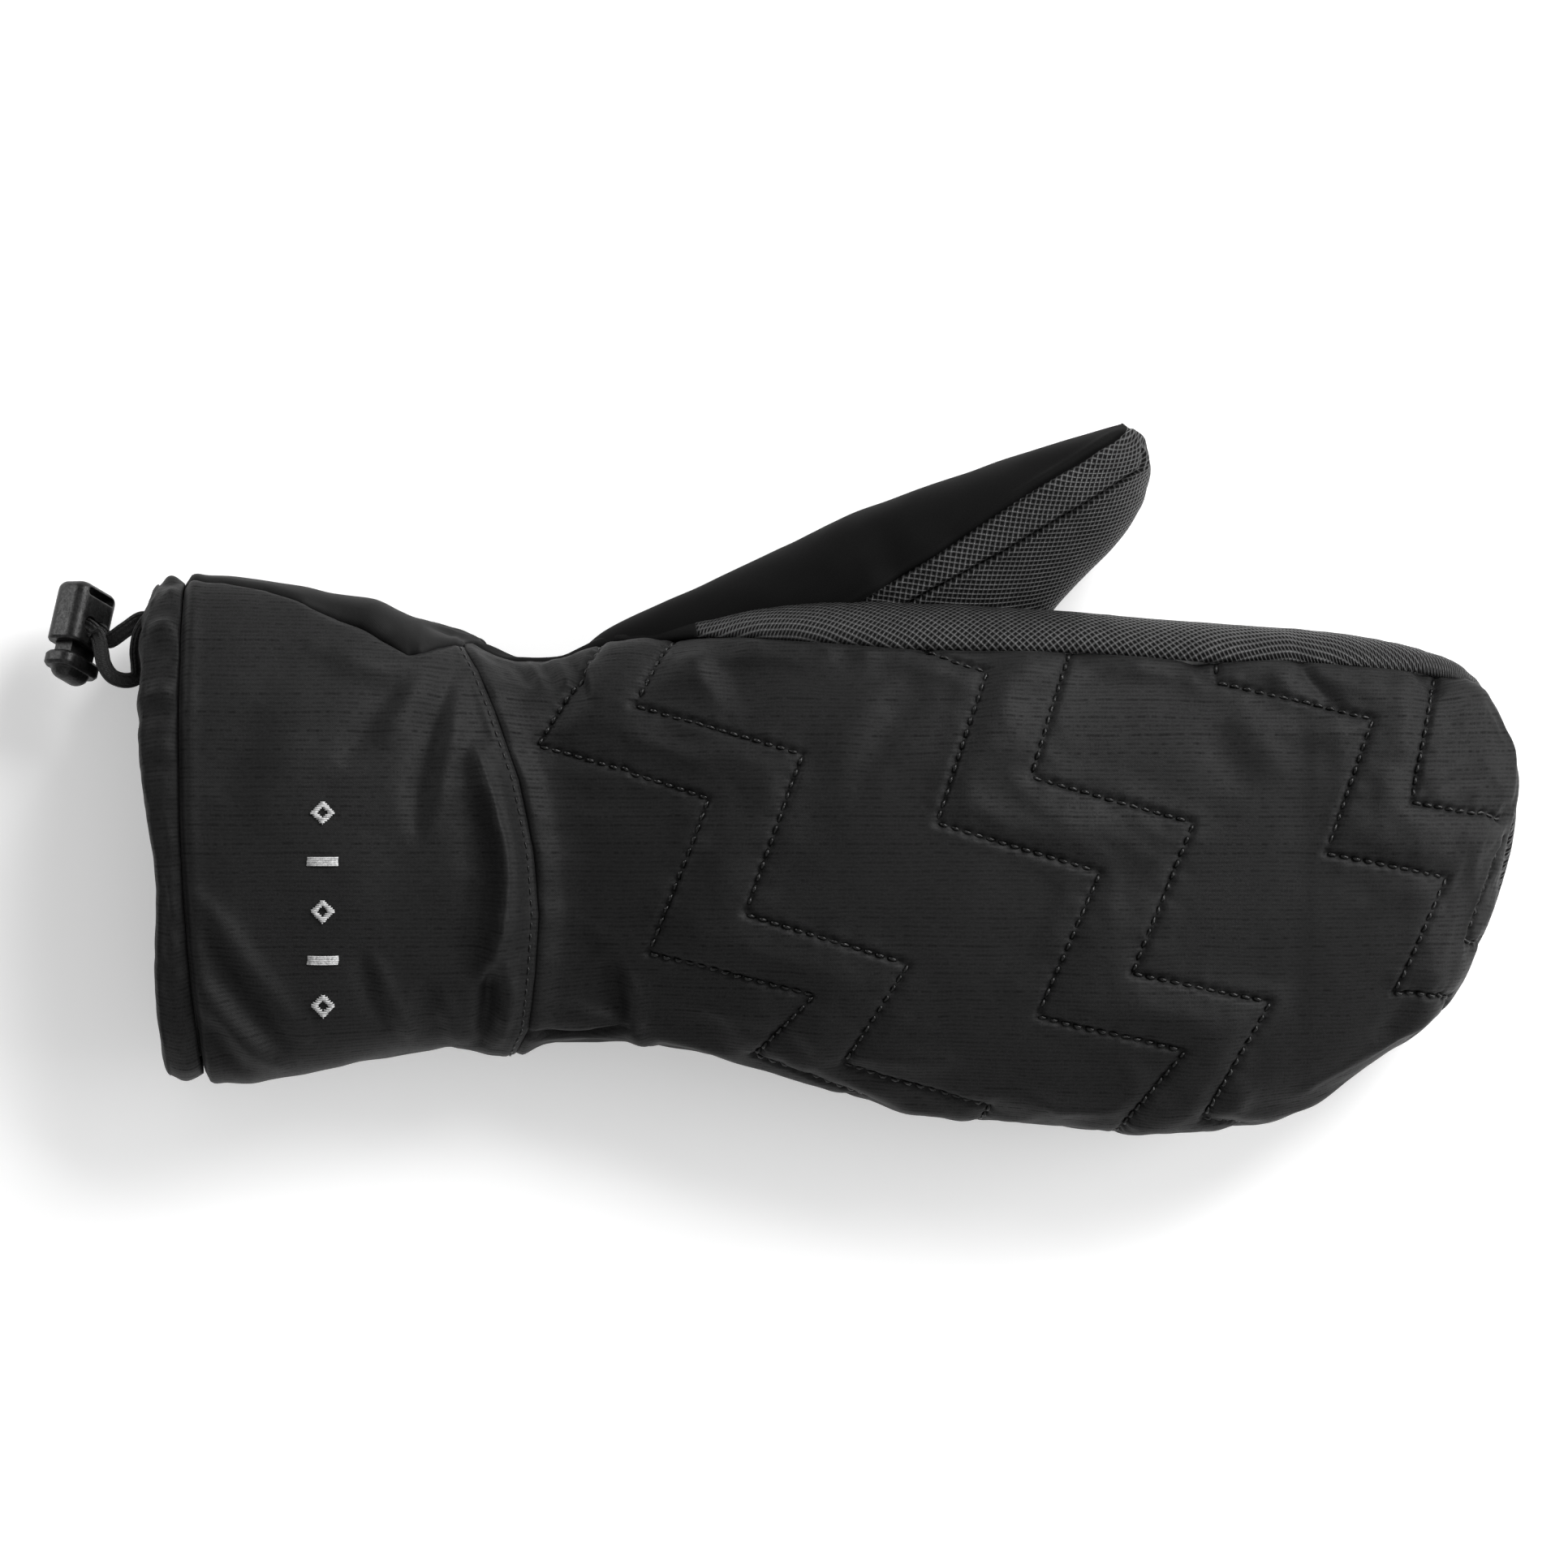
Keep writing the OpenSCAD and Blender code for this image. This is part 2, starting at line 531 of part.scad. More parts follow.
bar_h = 1.1;            // bar of the stem under the cords
cord_way = 1.25;        // half height of the cord way, without the travel
cord_way_side = 1.5;    // cord way beyond each cord's axis
stem_above = 2.4;       // stem above the pressed height, inside the cap
flange_above = 0.8;     // flange above the pressed height
flange_r = 3.1;
flange_end_r = 2.5;
flange_bevel_h = 0.7;
flange_h = 2;
dome_r = 3;
module cord_lock_plunger() color([0.07, 0.07, 0.072]) in_lock() {
  difference() {
    translate([-stem_t / 2, -stem_w / 2, -cord_way - bar_h])
      cube([stem_t, stem_w, cord_way + bar_h + lock_front + press + stem_above]);
    // cord way, long enough that the cords pass at rest and when pressed
    translate([-5, -cord_y - cord_way_side, -cord_way])
      cube([10, 2 * (cord_y + cord_way_side), 2 * cord_way + press]);
  }
  // oval flange with a domed cap on it
  translate([0, 0, lock_front + press + flange_above]) {
    hull() for (s = [-1, 1], x = [-1, 1]) translate([x * 1.2, s * 3.8, 0]) {
      cylinder(r1 = flange_end_r, r2 = flange_r, h = flange_bevel_h, $fn = 32);
      translate([0, 0, flange_bevel_h]) cylinder(r = flange_r, h = flange_h, $fn = 32);
      translate([0, 0, flange_bevel_h + flange_h])
        cylinder(r1 = flange_r, r2 = flange_end_r, h = flange_bevel_h, $fn = 32);
    }
    hull() for (s = [-1, 1])
      translate([0, s * 2.3, 2.9]) scale([1.15, 1, 1]) sphere(r = dome_r, $fn = 28);
  }
}

spring_r = 1.5;
spring_turns = 3;
turn_points = 14;
spring_gap = 0.06;      // clearance at each end of the spring
module cord_lock_spring() color([0.6, 0.6, 0.62]) in_lock() {
  count = turn_points * spring_turns;
  low = -well_floor + wire_r + spring_gap;
  high = -cord_way - bar_h - wire_r - spring_gap;
  sweep([for (i = [0:count])
    let (angle = 360 * i / turn_points)
    [spring_r * cos(angle), spring_r * sin(angle), low + (high - low) * i / count]], wire_r, 6);
}

// --- quilting: seven stepped lines across the back, given by their [x, y] corners
QUILT = [
  [[-97.7, 56], [-106.4, 32], [-72.4, 18.6], [-86.5, -18.8], [-47.7, -28.9], [-61.9, -44.1],
   [-35.9, -53.8]],
  [[-80.6, 58.9], [-89.3, 41.2], [-50, 29.3], [-63.7, -9.1], [-24.9, -20.9], [-40.9, -46.2],
   [-6.1, -56.4]],
  [[-20.5, 53.6], [-6.3, 49.8], [-18.4, 12.7], [20, 1.1], [5.1, -33.6], [39.9, -41.8],
   [24.5, -62.3]],
  [[13.1, 53.6], [4, 23.9], [42, 12.9], [27.6, -22.8], [60.4, -30], [44.1, -59.9]],
  [[47.5, 51.1], [47.5, 47.1], [84.2, 38], [73, 5.5], [102.8, -0.4], [89.7, -28.5]],
  [[99.8, 45.6], [93.5, 17.7], [112, 14.5]],
  [[112, 6], [106, -12]]];
thread_lift = 0.3;      // thread above the shell
run_end = 0.8;          // run cut back at each corner
run_steps = 12;
quilt_end_x = 108;      // the quilting stops here, short of the fingertip
wrist_clear = 6.2;      // quilting from each fold
knuckle_clear = 0.8;

function top_z(x, y) =
  let (across = abs((y - middle_y(x)) / half_width(x)))
  middle_z(x) + height(x) / 2 * pow(max(0, 1 - pow(across, back_power)), 1 / back_power);
function top_normal(x, y) =
  unit([top_z(x - 0.5, y) - top_z(x + 0.5, y), top_z(x, y - 0.5) - top_z(x, y + 0.5), 1]);
function on_back(p) =
  [p[0], p[1], top_z(p[0], p[1])] + (thread_r + thread_lift) * top_normal(p[0], p[1]);
function quilted(p, x_min, x_max) =
  p[0] > x_min && p[0] < x_max && p[0] < quilt_end_x
  && p[1] < thumb_edge(p[0]) - quilt_inset && p[1] > little_edge(p[0]) + quilt_inset;
// Each straight run keeps its points inside the limits, and every second one is used
module quilt(x_min, x_max)
  for (line = QUILT, i = [0:len(line) - 2])
    let (start = line[i], run = line[i + 1] - start, trim = run_end / norm(run),
         kept = [for (j = [0:run_steps])
           let (p = start + run * (trim + (1 - 2 * trim) * j / run_steps))
           if (quilted(p, x_min, x_max)) p])
    if (len(kept) > 3)
      sweep([for (j = [0:2:len(kept) - 1]) on_back(kept[j])], thread_r, 4);
module hand_quilt_thread() color(THREAD_BLACK)
  quilt(wrist_x + wrist_clear, knuckle_x - knuckle_clear);
module finger_quilt_thread() color(THREAD_BLACK) quilt(knuckle_x + knuckle_clear, tip_x);

// --- plain embroidered marks in a row across the cuff, diamonds and bars in turn
MARKS_Y = [15, 3.5, -8, -19.5, -30];
marks_x = -161.5;
mark_lift = 0.3;
mark_t = 0.6;
DIAMOND = [3.8, 3.8];
BAR = [7.2, 1.8];
module emblem() color([0.7, 0.7, 0.71])
  for (i = [0:len(MARKS_Y) - 1])
    let (y = MARKS_Y[i], station = marks_x - mouth_shift(marks_x, y),
         tilt = atan((top_z(station, y + 2) - top_z(station, y - 2)) / 4),
         slope = atan((top_z(station - 2, y) - top_z(station + 2, y)) / 4),
         diamond = i % 2 == 0, size = diamond ? DIAMOND : BAR)
    translate([marks_x, y, top_z(station, y) + mark_lift]) rotate([tilt, slope, 0])
      rotate([0, 0, diamond ? 45 : 0])
        translate([-size[0] / 2, -size[1] / 2, 0]) cube([size[0], size[1], mark_t]);

back_panel();
palm_panel();
thumb_web();
hand_insulation();
hand_membrane();
hand_lining();
hand_quilt_thread();
finger_back_panel();
finger_palm_panel();
finger_insulation();
finger_membrane();
finger_lining();
finger_quilt_thread();
thumb_back_panel();
thumb_side_strip();
thumb_palm_panel();
thumb_insulation();
thumb_membrane();
thumb_lining();
cuff_back_panel();
cuff_palm_panel();
cuff_side_gusset();
cuff_insulation();
cuff_lining();
wrist_elastic();
hem_tunnel();
drawcord();
emblem();
cord_lock_body();
cord_lock_plunger();
cord_lock_spring();
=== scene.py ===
"""A quilted winter mitten with a cuff, a drawcord hem and a cord lock, lying palm down on a table.

+X runs from cuff to fingertips, +Y towards the thumb, +Z out of the back of the hand; the table
is z = 0. Shapes are worked out in millimetres and written to meshes in metres. A surface is a
grid[row, column, xyz]: on the hand and cuff a row is a ring round the mitten at one station, and
angles round it run from 0 on the thumb side over the back (90) and little-finger side (180).
"""
import json
import math

import bmesh
import bpy
import numpy as np
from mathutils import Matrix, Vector
from mathutils.kdtree import KDTree


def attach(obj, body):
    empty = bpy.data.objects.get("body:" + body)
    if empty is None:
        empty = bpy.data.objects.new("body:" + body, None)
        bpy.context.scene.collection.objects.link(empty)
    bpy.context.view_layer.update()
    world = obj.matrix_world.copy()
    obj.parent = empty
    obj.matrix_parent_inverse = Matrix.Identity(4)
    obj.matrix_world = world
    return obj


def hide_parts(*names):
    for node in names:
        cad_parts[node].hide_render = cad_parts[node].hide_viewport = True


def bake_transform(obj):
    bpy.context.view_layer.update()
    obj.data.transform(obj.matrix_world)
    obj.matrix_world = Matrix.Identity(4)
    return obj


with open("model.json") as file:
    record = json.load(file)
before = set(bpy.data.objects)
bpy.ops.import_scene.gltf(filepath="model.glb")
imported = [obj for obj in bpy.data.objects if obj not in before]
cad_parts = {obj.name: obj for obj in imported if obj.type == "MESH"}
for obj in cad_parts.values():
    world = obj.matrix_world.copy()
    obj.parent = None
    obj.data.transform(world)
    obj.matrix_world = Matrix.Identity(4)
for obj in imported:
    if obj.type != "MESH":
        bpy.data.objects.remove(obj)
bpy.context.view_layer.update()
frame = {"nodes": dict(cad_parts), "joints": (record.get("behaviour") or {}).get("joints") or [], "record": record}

RNG = np.random.default_rng(11)
PI = math.pi
MM = 0.001

SHELL = 0.7             # thickness of the outer cloth
TABLE_GAP = 0.15        # lowest height of the cloth over the table
BODY_STEP = 1.25        # row spacing of the hand's working grid
BACK_COLS, PALM_COLS = 124, 132
BACK_STEP = 0.66
PALM_STEP = 1.1
CUFF_STEP = 0.8
GUSSET_COLS, CUFF_BACK_COLS, CUFF_PALM_COLS = ((16, 190, 110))
HEM_COLS = 330


# ---------------------------------------------------------------- small maths
def smooth(low, high, x):
    """Smoothstep of x: 0 at low, 1 at high; low may be the larger."""
    t = np.clip((np.asarray(x, float) - low) / (high - low), 0, 1)
    return t * t * (3 - 2 * t)


def bell(distance, width):
    return np.exp(-(distance / width) ** 2)


def unit(v):
    return v / np.maximum(np.linalg.norm(v, axis=-1, keepdims=True), 1e-9)


def arc_lengths(points):
    return np.r_[0, np.cumsum(np.linalg.norm(np.diff(points, axis=0), axis=1))]


def interp_points(at, stations, points):
    return np.stack([np.interp(at, stations, points[:, k]) for k in range(3)], 1)


def spline_weights(f):
    f2, f3 = f * f, f * f * f
    return (-0.5 * f3 + f2 - 0.5 * f, 1.5 * f3 - 2.5 * f2 + 1,
            -1.5 * f3 + 2 * f2 + 0.5 * f, 0.5 * f3 - 0.5 * f2)


def spline(table, at):
    """Catmull-Rom through the rows of table at fractional rows."""
    table = np.asarray(table, float)
    last = len(table) - 1
    at = np.clip(np.asarray(at, float), 0, last)
    i = np.minimum(at.astype(int), last - 1)
    out = 0
    for k, weight in enumerate(spline_weights(at - i)):
        j = i + k - 1
        row = table[np.clip(j, 0, last)]
        # straight-line ghosts past the ends
        row = np.where((j < 0)[:, None], 2 * table[0] - table[1], row)
        row = np.where((j > last)[:, None], 2 * table[last] - table[last - 1], row)
        out = out + weight[:, None] * row
    return out


def sample_grid(grid, rows, cols, closed=False):
    """Bicubic values of grid at fractional rows and columns; closed grids wrap in columns."""
    nu, nv = grid.shape[:2]
    rows = np.clip(rows, 0, nu - 1)
    i = np.minimum(np.floor(rows).astype(int), nu - 2)
    if closed:
        j = np.floor(cols).astype(int)
    else:
        cols = np.clip(cols, 0, nv - 1)
        j = np.minimum(np.floor(cols).astype(int), nv - 2)
    row_weights, col_weights = spline_weights(rows - i), spline_weights(cols - j)
    out = 0
    for a in range(4):
        for b in range(4):
            row = np.clip(i + a - 1, 0, nu - 1)
            col = j + b - 1
            col = col % nv if closed else np.clip(col, 0, nv - 1)
            out = out + (row_weights[a] * col_weights[b])[..., None] * grid[row, col]
    return out


def sample_field(field, rows, cols, closed=False):
    return sample_grid(field[..., None], rows, cols, closed)[..., 0]


def normals_of(grid, closed=False, probe=None, up=1):
    """Unit normals, turned so the one at probe points up (or down, with up=-1).

    The probe is a (row, column), by default the highest point of the middle row."""
    du = np.gradient(grid, axis=0)
    if closed:
        dv = (np.roll(grid, -1, 1) - np.roll(grid, 1, 1)) * 0.5
    else:
        dv = np.gradient(grid, axis=1)
    normals = unit(np.cross(dv, du))
    if probe is None:
        middle = len(grid) // 2
        probe = (middle, np.argmax(grid[middle][:, 2]))
    return -normals if normals[probe][2] * up < 0 else normals


def blur(values, row_cells, col_cells, closed=False):
    """Gaussian blur by so many cells along the rows' and columns' axes."""
    def one(x, sigma, axis, wrap):
        r = int(3 * sigma) + 1
        kernel = np.exp(-0.5 * (np.arange(-r, r + 1) / sigma) ** 2)
        kernel /= kernel.sum()
        pad = [(0, 0)] * x.ndim
        pad[axis] = (r, r)
        padded = np.pad(x, pad, mode="wrap" if wrap else "edge")
        out = 0
        for q, weight in enumerate(kernel):
            cut = [slice(None)] * x.ndim
            cut[axis] = slice(q, q + x.shape[axis])
            out = out + weight * padded[tuple(cut)]
        return out
    return one(one(values, row_cells, 0, False), col_cells, 1, closed)


def noise(x, y, seed, scale):
    """Smooth value noise in -1..1, with a lattice of the given scale."""
    table = np.random.default_rng(seed).uniform(-1, 1, (64, 64))
    xs, ys = np.asarray(x) / scale, np.asarray(y) / scale
    i, j = np.floor(xs).astype(int), np.floor(ys).astype(int)
    fx, fy = xs - i, ys - j
    fx, fy = fx * fx * (3 - 2 * fx), fy * fy * (3 - 2 * fy)

    def at(a, b):
        return table[a % 64, b % 64]

    near = at(i, j) * (1 - fx) + at(i + 1, j) * fx
    far = at(i, j + 1) * (1 - fx) + at(i + 1, j + 1) * fx
    return near * (1 - fy) + far * fy


def super_power(v, n):
    return np.sign(v) * np.abs(v) ** (2.0 / n)


def close_ring(grid):
    return np.concatenate([grid, grid[:, :1]], 1)


def next_column(grid):
    """The column past the last one, carrying on its step."""
    return grid[:, -1:] - (grid[:, -2:-1] - grid[:, -1:])


def above_table(grid, gap=TABLE_GAP):
    grid[..., 2] = np.maximum(grid[..., 2], gap)
    return grid


# ---------------------------------------------------------------- outlines
# stations: x, thumb-side y, little-finger-side y, thickness
BODY = np.array([
    (-128, 59.2, -41.0, 47.5), (-122, 58.2, -42.0, 46.0), (-116, 55.4, -42.0, 45.4),
    (-108, 52.6, -41.2, 46.0), (-100, 52.8, -41.2, 48.0), (-92, 57.8, -42.2, 49.8),
    (-82, 59.4, -43.2, 52.0), (-71, 61.4, -45.4, 54.8), (-59, 63.9, -48.7, 57.2),
    (-47, 65.1, -51.9, 59.0), (-36, 65.3, -54.2, 60.0), (-24, 65.0, -57.2, 60.2),
    (-13, 64.4, -59.3, 60.0), (-2, 63.8, -61.0, 59.2), (9.5, 63.2, -62.2, 58.2),
    (21, 62.2, -62.8, 57.0), (32, 61.2, -62.7, 56.0), (44, 60.3, -62.3, 55.0),
    (55, 59.5, -60.4, 53.6), (66, 58.7, -57.2, 51.8), (78, 57.5, -51.8, 48.6),
    (89, 55.5, -44.8, 44.4), (97, 53.4, -39.0, 40.0), (104, 50.8, -30.4, 34.0),
    (109.5, 46.6, -19.6, 28.0), (113.5, 40.9, -9.8, 22.0), (116.4, 35.4, 0.2, 16.0),
    (118.4, 30.0, 10.6, 9.0), (119.2, 22.6, 22.0, 0.8)])
CUFF = np.array([
    (-195.2, 70.2, -47.6, 53.0), (-190, 70.3, -48.2, 53.4), (-184, 69.9, -48.6, 53.4),
    (-178.5, 69.2, -47.6, 53.2), (-173, 68.4, -46.8, 53.0), (-167, 67.5, -45.8, 52.8),
    (-161.5, 66.3, -44.6, 52.4), (-156, 65.6, -43.2, 51.8), (-150, 64.8, -42.2, 51.0),
    (-144.4, 62.4, -41.0, 50.2), (-138.7, 60.8, -40.4, 49.4), (-133, 60.0, -39.8, 48.8),
    (-128, 59.2, -40.8, 47.8), (-122, 57.8, -42.0, 46.2), (-116, 55.4, -42.0, 45.4),
    (-108, 52.6, -41.2, 46.0)])
# thumb-side seam of the back panel in plan: x, y
THUMB_SEAM = np.array([
    (-128, 60), (-106, 60), (-97.3, 57.2), (-88, 58.5), (-82, 58.6), (-75.4, 58.7),
    (-52.3, 56.8), (-28.5, 54.9), (-21, 54.8), (18, 54.0), (44, 51.8), (62, 52.4),
    (92.5, 50.0), (106.6, 48.0), (112, 43), (119.3, 24)])
# edge of the side gusset on the cuff's back in plan: x, y
GUSSET_SEAM = np.array([
    (-196, 69.6), (-186, 69.0), (-176, 67.2), (-165, 63.8), (-152.8, 60.0), (-146, 56.2),
    (-140.2, 52.2), (-134, 52.0), (-128, 53.0), (-122, 53.8), (-116, 54.8), (-108, 54.8)])
# wrist seam in plan: y, x
WRIST_SEAM = np.array([
    (-41.8, -116.5), (-36, -113.6), (-22.8, -112.1), (-9.1, -111.2), (6, -112.4),
    (22.8, -115.9), (38.8, -121.4), (48.6, -125.4), (53.8, -128.4)])
WRIST_ROW = 2                           # the station of BODY on the nominal wrist
WRIST_X = BODY[WRIST_ROW, 0]
TOP_POWER, PALM_POWER = 2.3, 2.7        # superellipse powers of the rings
TIP_HEIGHT = 26.0                       # height of the fingertips' middle
LIFT_FROM, LIFT_TO = 65, 70             # the hand rises off the table between these x
BELLY = 0.5                             # how far the palm sags into the table before it is cut flat
LITTLE_ANGLE = 204                      # angle of the little-finger-side seam
RING_ANGLES = np.linspace(0, 360, 1441)


def section(station, angles, depth=0.0):
    """Points of the ring at a station (x, two edges, thickness), depth below the surface."""
    x, thumb_y, little_y, thick = station
    turn = np.radians(angles)
    sine = np.sin(turn)
    half_width, mid_y = (thumb_y - little_y) / 2, (thumb_y + little_y) / 2
    power = np.where(sine >= 0, TOP_POWER, PALM_POWER)
    half_thick = thick / 2
    lying = 1.0 if x < LIFT_FROM else max(0.0, (LIFT_TO - x) / (LIFT_TO - LIFT_FROM))
    mid_z = half_thick if x < LIFT_FROM else TIP_HEIGHT + (half_thick - TIP_HEIGHT) * lying
    wide, high = max(half_width - depth, 0.2), max(half_thick - depth, 0.2)
    y = mid_y + wide * super_power(np.cos(turn), power)
    z = mid_z + np.where(sine >= 0, high, high + BELLY * lying) * super_power(sine, power)
    # flat where it lies on the table
    lift = max(0.0, min(1.0, (x - 64) / 6))
    z = np.where(z < depth, depth + (z - depth) * lift, z)
    return np.stack([np.full_like(y, x), y, z], 1)


def angle_at(station, y):
    """Angle of the point at this y on the back of the ring."""
    _, thumb_y, little_y, _ = station
    q = np.clip((y - (thumb_y + little_y) / 2) / ((thumb_y - little_y) / 2), -0.9999, 0.9999)
    return math.degrees(math.acos(np.sign(q) * abs(q) ** (TOP_POWER / 2)))


def resample(ring, start, stop, count):
    """count steps of equal length between two angles of a dense ring: points, length, angles."""
    angles = np.linspace(start, stop, 400)
    points = interp_points(np.mod(angles, 360), RING_ANGLES, ring)
    arc = arc_lengths(points)
    at = np.linspace(0, arc[-1], count + 1)
    return interp_points(at, arc, points), arc[-1], np.interp(at, arc, angles)


def wrist_shift(points):
    """How far the wrist seam lies from the nominal wrist, by y on the back, less on the palm."""
    shift = np.interp(points[..., 1], WRIST_SEAM[:, 0], WRIST_SEAM[:, 1]) - WRIST_X
    back = smooth(10, 26, points[..., 2])
    return shift * back + (1 - back) * (shift * 0.35 - 1.0)


# ---------------------------------------------------------------- plain hand
def hand_stations():
    """Stations evenly spaced along the surface, and their distances from the wrist."""
    rows = spline(BODY, np.linspace(WRIST_ROW, len(BODY) - 1, 1600))
    rows[:, 0] = np.maximum.accumulate(rows[:, 0])
    angles = np.radians([20, 60, 90, 130, 170])
    mid_y = (rows[:, 1] + rows[:, 2]) / 2
    length = 0
    for angle in angles:
        y = mid_y + (rows[:, 1] - rows[:, 2]) / 2 * np.cos(angle)
        z = TIP_HEIGHT + rows[:, 3] / 2 * np.sin(angle)
        length = length + arc_lengths(np.stack([rows[:, 0], y, z], 1)) / len(angles)
    even = np.linspace(0, length[-1], int(round(length[-1] / BODY_STEP)) + 1)
    return spline(rows, np.interp(even, length, np.arange(len(length)))), even


def hand_rings(stations):
    """Rings with columns lined up on the two seams, their girth coordinates and angles."""
    rings, girths, angles = [], [], []
    for station in stations:
        x = station[0]
        dense = section(station, RING_ANGLES)
        to_tip = smooth(104, 114, x)
        thumb = angle_at(station, np.interp(x, THUMB_SEAM[:, 0], THUMB_SEAM[:, 1]))
        thumb = thumb * (1 - to_tip) + (-6) * to_tip
        little = LITTLE_ANGLE - 18 * smooth(98, 117, x)
        back, back_len, back_angles = resample(dense, thumb, little, BACK_COLS)
        palm, palm_len, palm_angles = resample(dense, little, thumb + 360, PALM_COLS)
        rings.append(np.vstack([back, palm[1:-1]]))
        # girth is measured over the back and equals y on its middle line
        arc = np.linspace(0, back_len, BACK_COLS + 1)
        back_girth = np.interp(90, back_angles, arc) - arc + (station[1] + station[2]) / 2
        palm_girth = back_girth[-1] - np.linspace(0, palm_len, PALM_COLS + 1)[1:-1]
        girths.append(np.r_[back_girth, palm_girth])
        angles.append(np.r_[back_angles, palm_angles[1:-1]])
    rings = np.array(rings)
    fade = 1 - smooth(WRIST_X, WRIST_X + 38, rings[..., 0])
    rings[..., 0] += wrist_shift(rings) * fade
    return rings, np.array(girths), np.array(angles)


STATIONS, LENGTHS = hand_stations()
ROWS = len(STATIONS)
HAND_LEN = LENGTHS[-1]
PLAIN, GIRTH, ANGLES = hand_rings(STATIONS)
PLAIN_N = normals_of(PLAIN, closed=True)

# ---------------------------------------------------------------- quilting lines
# corners of each zigzag in plan on the back: x, y
QUILT = [
    [(-97.7, 57.6), (-111.6, 31.5), (-72.4, 18.6), (-86.5, -18.8), (-47.7, -28.9),
     (-61.9, -44.1), (-35.9, -53.8)],
    [(-80.6, 59.2), (-89.3, 41.2), (-50, 29.3), (-63.7, -9.1), (-24.9, -20.9),
     (-40.9, -46.2), (-6.1, -56.4), (-8.9, -59.8)],
    [(-20.5, 54.4), (-6.3, 49.8), (-18.4, 12.7), (20, 1.1), (5.1, -33.6), (39.9, -41.8),
     (24.5, -62.0)],
    [(13.1, 54.2), (4, 23.9), (42, 12.9), (27.6, -22.8), (60.4, -30), (44.1, -59.6),
     (54.2, -60.4)],
    [(47.5, 51.8), (47.5, 47.1), (84.2, 38), (73, 5.5), (102.8, -0.4), (89.7, -28.5),
     (104.6, -28.9)],
    [(99.8, 50.0), (93.5, 17.7), (117.0, 13.7)],
    [(117.4, 8.2), (108.1, -15.6), (111.4, -15.2)]]
# how each line goes on down the little-finger side: steps along x and in girth
TAILS = [[(-10, -17), (20, -7)], [(-5, -18), (18, -6)], [(-4, -14), (22, -5)], [(-8, -16)],
         [(-6, -12)], [], [(-3, -10)]]
LINE_OFFSET = 400       # added to the arc lengths of each next line to set the lines apart

MID_X = PLAIN[:, BACK_COLS // 2, 0]


def plan_to_index(x, y):
    """Fractional row and column of the point of the back over plan point (x, y)."""
    x = np.clip(x, MID_X[0] + 0.05, 118.9)
    numbers = np.arange(ROWS)
    row = np.interp(x, MID_X, numbers)
    for _ in range(3):
        i = int(min(row, ROWS - 2))
        f = row - i
        ring = PLAIN[i, :BACK_COLS + 1] * (1 - f) + PLAIN[i + 1, :BACK_COLS + 1] * f
        first, last = np.argmax(ring[:, 1]), np.argmin(ring[:, 1])
        col = float(np.interp(y, ring[first:last + 1, 1][::-1],
                              np.arange(first, last + 1)[::-1]))
        found_x = float(np.interp(col, np.arange(BACK_COLS + 1), ring[:, 0]))
        slope = (np.interp(min(row + 1, ROWS - 1), numbers, MID_X)
                 - np.interp(max(row - 1, 0), numbers, MID_X)) / 2
        row = float(np.clip(row + (x - found_x) / max(slope, 0.05) * 0.8, 0, ROWS - 1.5))
    return row, col


def trace_line(plan_line, tail):
    """Follows a line over the hand: grid indices, points, arc lengths, arc lengths of corners."""
    stops, corners = [], []
    for (xa, ya), (xb, yb) in zip(plan_line[:-1], plan_line[1:]):
        n = max(1, int(math.hypot(xb - xa, yb - ya) / 3.0))
        corners.append(len(stops))
        stops += [plan_to_index(xa + (xb - xa) * k / n, ya + (yb - ya) * k / n)
                  for k in range(n)]
    corners.append(len(stops))
    stops.append(plan_to_index(*plan_line[-1]))
    for step_x, step_girth in tail:
        row, col = stops[-1]
        row_step = LENGTHS[1] - LENGTHS[0]
        mid = BACK_COLS // 2
        col_step = abs(GIRTH[int(row), mid] - GIRTH[int(row), mid + 1])
        corners.append(len(stops))
        stops.append((min(row + step_x / row_step, ROWS - 8),
                      min(col - step_girth / col_step, BACK_COLS - 3)))
    runs, starts = [], [0]
    for a, b in zip(stops[:-1], stops[1:]):
        pa, pb = sample_grid(PLAIN, np.array([a[0], b[0]]), np.array([a[1], b[1]]), True)
        n = max(2, int(np.linalg.norm(pb - pa) / 0.4))
        runs += [(a[0] + (b[0] - a[0]) * t, a[1] + (b[1] - a[1]) * t)
                 for t in np.linspace(0, 1, n, endpoint=False)]
        starts.append(len(runs))
    runs.append(stops[-1])
    indices = np.array(runs)
    points = sample_grid(PLAIN, indices[:, 0], indices[:, 1], True)
    arc = arc_lengths(points)
    return indices, points, arc, [arc[starts[k]] for k in corners]


LINES = [trace_line(line, tail) for line, tail in zip(QUILT, TAILS)]
LINE_POINTS = np.vstack([points for _, points, _, _ in LINES])
LINE_ARCS = np.concatenate([arc + LINE_OFFSET * k for k, (_, _, arc, _) in enumerate(LINES)])
LINE_TANGENTS = unit(np.vstack([np.gradient(points, axis=0) for _, points, _, _ in LINES]))
LINE_TREE = KDTree(len(LINE_POINTS))
for i, p in enumerate(LINE_POINTS):
    LINE_TREE.insert(p, i)
LINE_TREE.balance()


